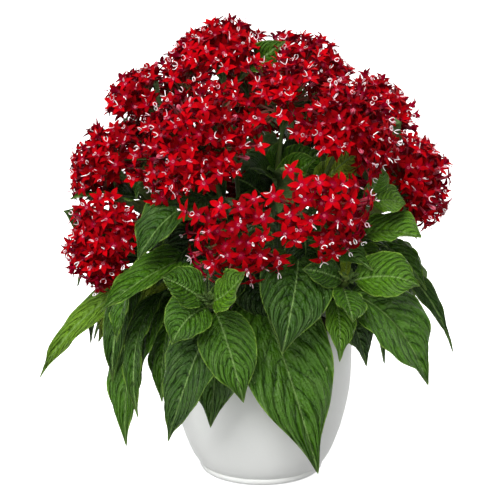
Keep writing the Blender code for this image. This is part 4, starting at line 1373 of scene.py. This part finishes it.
def grow_floret(sheaf, draw, name, forks, place, out, fine):
    _, centre, radius = HEADS[name]
    centre = np.array(centre, float)
    crowded = name not in OPEN_HEADS
    lean = three(draw.gauss, 0, (LEAN_SHAKE if fine else 2 * LEAN_SHAKE) * 0.5)
    way = unit(place - centre)
    reach = np.linalg.norm(place - centre) + HEAD_TRIM.get(name, 0)
    if fine:
        is_bud = draw.random() < (BUD_SHARE if crowded else OPEN_BUD_SHARE)
        reach += draw.uniform(*(DEPTH_SHAKE if crowded else OPEN_SHAKE)) - (BUD_DEPTH if is_bud else 0)
    else:
        is_bud = False
        way = unit(way + three(draw.uniform, -0.2, 0.2))
        reach += draw.uniform(*DEEP_LAYER)
    reach += SWELL * noise.noise(Vector(centre + way * radius) * SWELL_PITCH)
    # A floret of the deep layer takes the dark tone of painted shade.
    tone = min(1, max(0, draw.gauss(0.5, 0.28))) if fine else SHADE_TONE
    ray = unit(way + lean * 0.2)
    mouth = centre + ray * reach
    foot = centre + ray * max(reach - TUBE_LENGTH, radius * 0.3)
    tilt = unit(out + lean)
    path = bezier(foot, (foot + mouth) / 2 + lean * 1.5, mouth - tilt * 0.4, len(TUBE_RADII))
    if fine:
        fork = nearest(forks, foot)
        stalk = bezier(fork, (fork + foot) / 2 + lean, foot, len(STALK_RADII))
        sheaf.add(*tube(stalk, STALK_RADII, 4), CALYX, tint=0.3)
        calyx_tone = draw.uniform(0.1, 0.8)
        add_calyx(Spot(sheaf, foot, basis(path[1] - path[0])), draw, calyx_tone)
    sheaf.add(*tube(path, TUBE_RADII, 5), TUBE, tint=TUBE_TINTS)
    if is_bud:
        add_bud(sheaf, draw, foot, mouth, tone)
        return
    spot = Spot(sheaf, mouth, basis(tilt) @ about_up(draw.uniform(0, math.tau)))
    add_star(spot, draw, tone, crowded, fine)
    if fine:
        add_throat(spot, draw, tone)
        add_stigma(spot, draw, draw.random())


print("florets of the deep layer lie", -DEEP_LAYER[1], "to", -DEEP_LAYER[0], "mm below the dome")

# %% [markdown]
# ## Heads
#
# A head is its branches, its florets, a deep layer of plainer ones, and in a crowded head the shade stars
# below them, so that no one looks through. Every head draws its chances from a source of its own, so a
# change to one head leaves the others as they are.

# %% Heads
SHADE_LAYER = (-19.0, -11.0)
BRANCHES = 7
BRANCH_RADII = np.linspace(1.3, 0.7, 6)


def grow_shade(sheaf, draw, name, forks, place):
    _, centre, radius = HEADS[name]
    way = unit(unit(place - centre) + three(draw.uniform, -0.25, 0.25))
    reach = max(np.linalg.norm(place - centre) + draw.uniform(*SHADE_LAYER), radius * 0.35)
    spot = centre + way * reach
    add_shade_star(sheaf, draw, nearest(forks, spot), spot, basis(unit(way + three(draw.gauss, 0, 0.3))))


def grow_head(name):
    _, centre, radius = HEADS[name]
    draw = random.Random("florets of " + name)
    sheaf = Sheaf()
    axis = np.array(facing(centre))
    end = np.array(stems[name]["end"])
    forks = centre + dome_ways(facing(centre), BRANCHES) * radius * 0.20
    for fork in forks:
        branch = bezier(end - axis * 2, end + axis * 5, fork, len(BRANCH_RADII))
        sheaf.add(*tube(branch, BRANCH_RADII, 6), CALYX, tint=0.3)
    spots = [(place, out) for owner, place, out in florets if owner == name]
    for fine in (True, False):
        for place, out in spots:
            grow_floret(sheaf, draw, name, forks, place, out, fine)
    for place, _ in spots if name not in OPEN_HEADS else ():
        grow_shade(sheaf, draw, name, forks, place)
    settle(sheaf.piece("head_" + name, bloom_finishes, sharp=60), "bloom", "bloom_" + name)
    return sheaf.triangles()


head_triangles = {name: grow_head(name) for name in HEADS}
print("triangles in heads:", sum(head_triangles.values()), "most in one:", max(head_triangles.values()))

# %% [markdown]
# ## Floor
#
# The plant stands on a plain pale floor. It glows a little, like a lit table, so that the plant's shadow on
# it stays faint. It is part of the stage only, not of the plant.

# %% Floor
FLOOR_HALF = 7.0
FLOOR_GLOW = 0.72


def add_floor():
    mesh = bpy.data.meshes.new("floor")
    corners = [(x * FLOOR_HALF, y * FLOOR_HALF, 0) for x, y in ((-1, -1), (1, -1), (1, 1), (-1, 1))]
    mesh.from_pydata(corners, [], [(0, 1, 2, 3)])
    floor = put("floor", mesh)
    finish = Finish("floor_paper", Roughness=0.9, Specular_IOR_Level=0.2)
    colour = finish.mix(finish.noise(finish.place(), 40.0), (0.90, 0.90, 0.90), (0.93, 0.93, 0.93))
    paper = finish.done(Base_Color=colour, Emission_Color=(1, 1, 1), Emission_Strength=FLOOR_GLOW)
    mesh.materials.append(paper)
    floor.visible_diffuse = False


add_floor()
print("floor:", 2 * FLOOR_HALF, "m wide")

# %% [markdown]
# ## Light
#
# The light is soft. A broad sun above and to the left does most, two low lamps in front light the pot and
# the leaves that hang over it, a weaker sun behind keeps the back from going black, and a sky, pale above
# and dim below, fills the rest and leaves the shade deep under the leaves.

# %% Light
SKY = (1.0, 1.0, 1.0)
SKY_BETWEEN = (-0.25, 0.6)
SKY_STRENGTH = (0.16, 0.32)
LAMP_AIM = (0, 0, 0.06)


def add_light(name, kind, way, power, **settings):
    """A light that comes from this way."""
    lamp = put(name, bpy.data.lights.new(name, kind))
    lamp.data.energy = power
    for key, value in settings.items():
        setattr(lamp.data, key, value)
    lamp.rotation_euler = Vector(way).to_track_quat("Z", "Y").to_euler()
    return lamp


def add_lamp(name, place, size, power):
    """A round lamp near the plant, aimed at the pot."""
    lamp = add_light(name, "AREA", Vector(place) - Vector(LAMP_AIM), power, shape="DISK", size=size)
    lamp.location = place


def add_sun(name, way, power, width):
    """A lamp so far off that it lights the floor evenly; its width in degrees softens the shadows."""
    add_light(name, "SUN", way, power, angle=math.radians(width))


def set_sky():
    world = bpy.data.worlds.new("sky")
    world.use_nodes = True
    tree = world.node_tree
    kinds = ("TexCoord", "SeparateXYZ", "MapRange")
    ball, height, level = (tree.nodes.new("ShaderNode" + kind) for kind in kinds)
    level.interpolation_type = "SMOOTHSTEP"
    for socket, value in zip(level.inputs, (0, *SKY_BETWEEN, *SKY_STRENGTH)):
        socket.default_value = value
    background = tree.nodes["Background"]
    tree.links.new(ball.outputs["Generated"], height.inputs[0])
    tree.links.new(height.outputs[2], level.inputs[0])
    tree.links.new(level.outputs[0], background.inputs[1])
    background.inputs[0].default_value = (*SKY, 1)
    bpy.context.scene.world = world


set_sky()
add_sun("key", (-0.45, -0.9, 1.12), 3.8, 38)
add_sun("behind", (0.55, 1.0, 0.75), 2.0, 60)
add_lamp("fill", (0.5, -2.6, 0.15), 2.0, 25)
add_lamp("fill_left", (-2.0, -1.6, 0.10), 1.6, 11)
bpy.context.scene.view_settings.view_transform = "Standard"
print("lights:", len(bpy.data.lights))
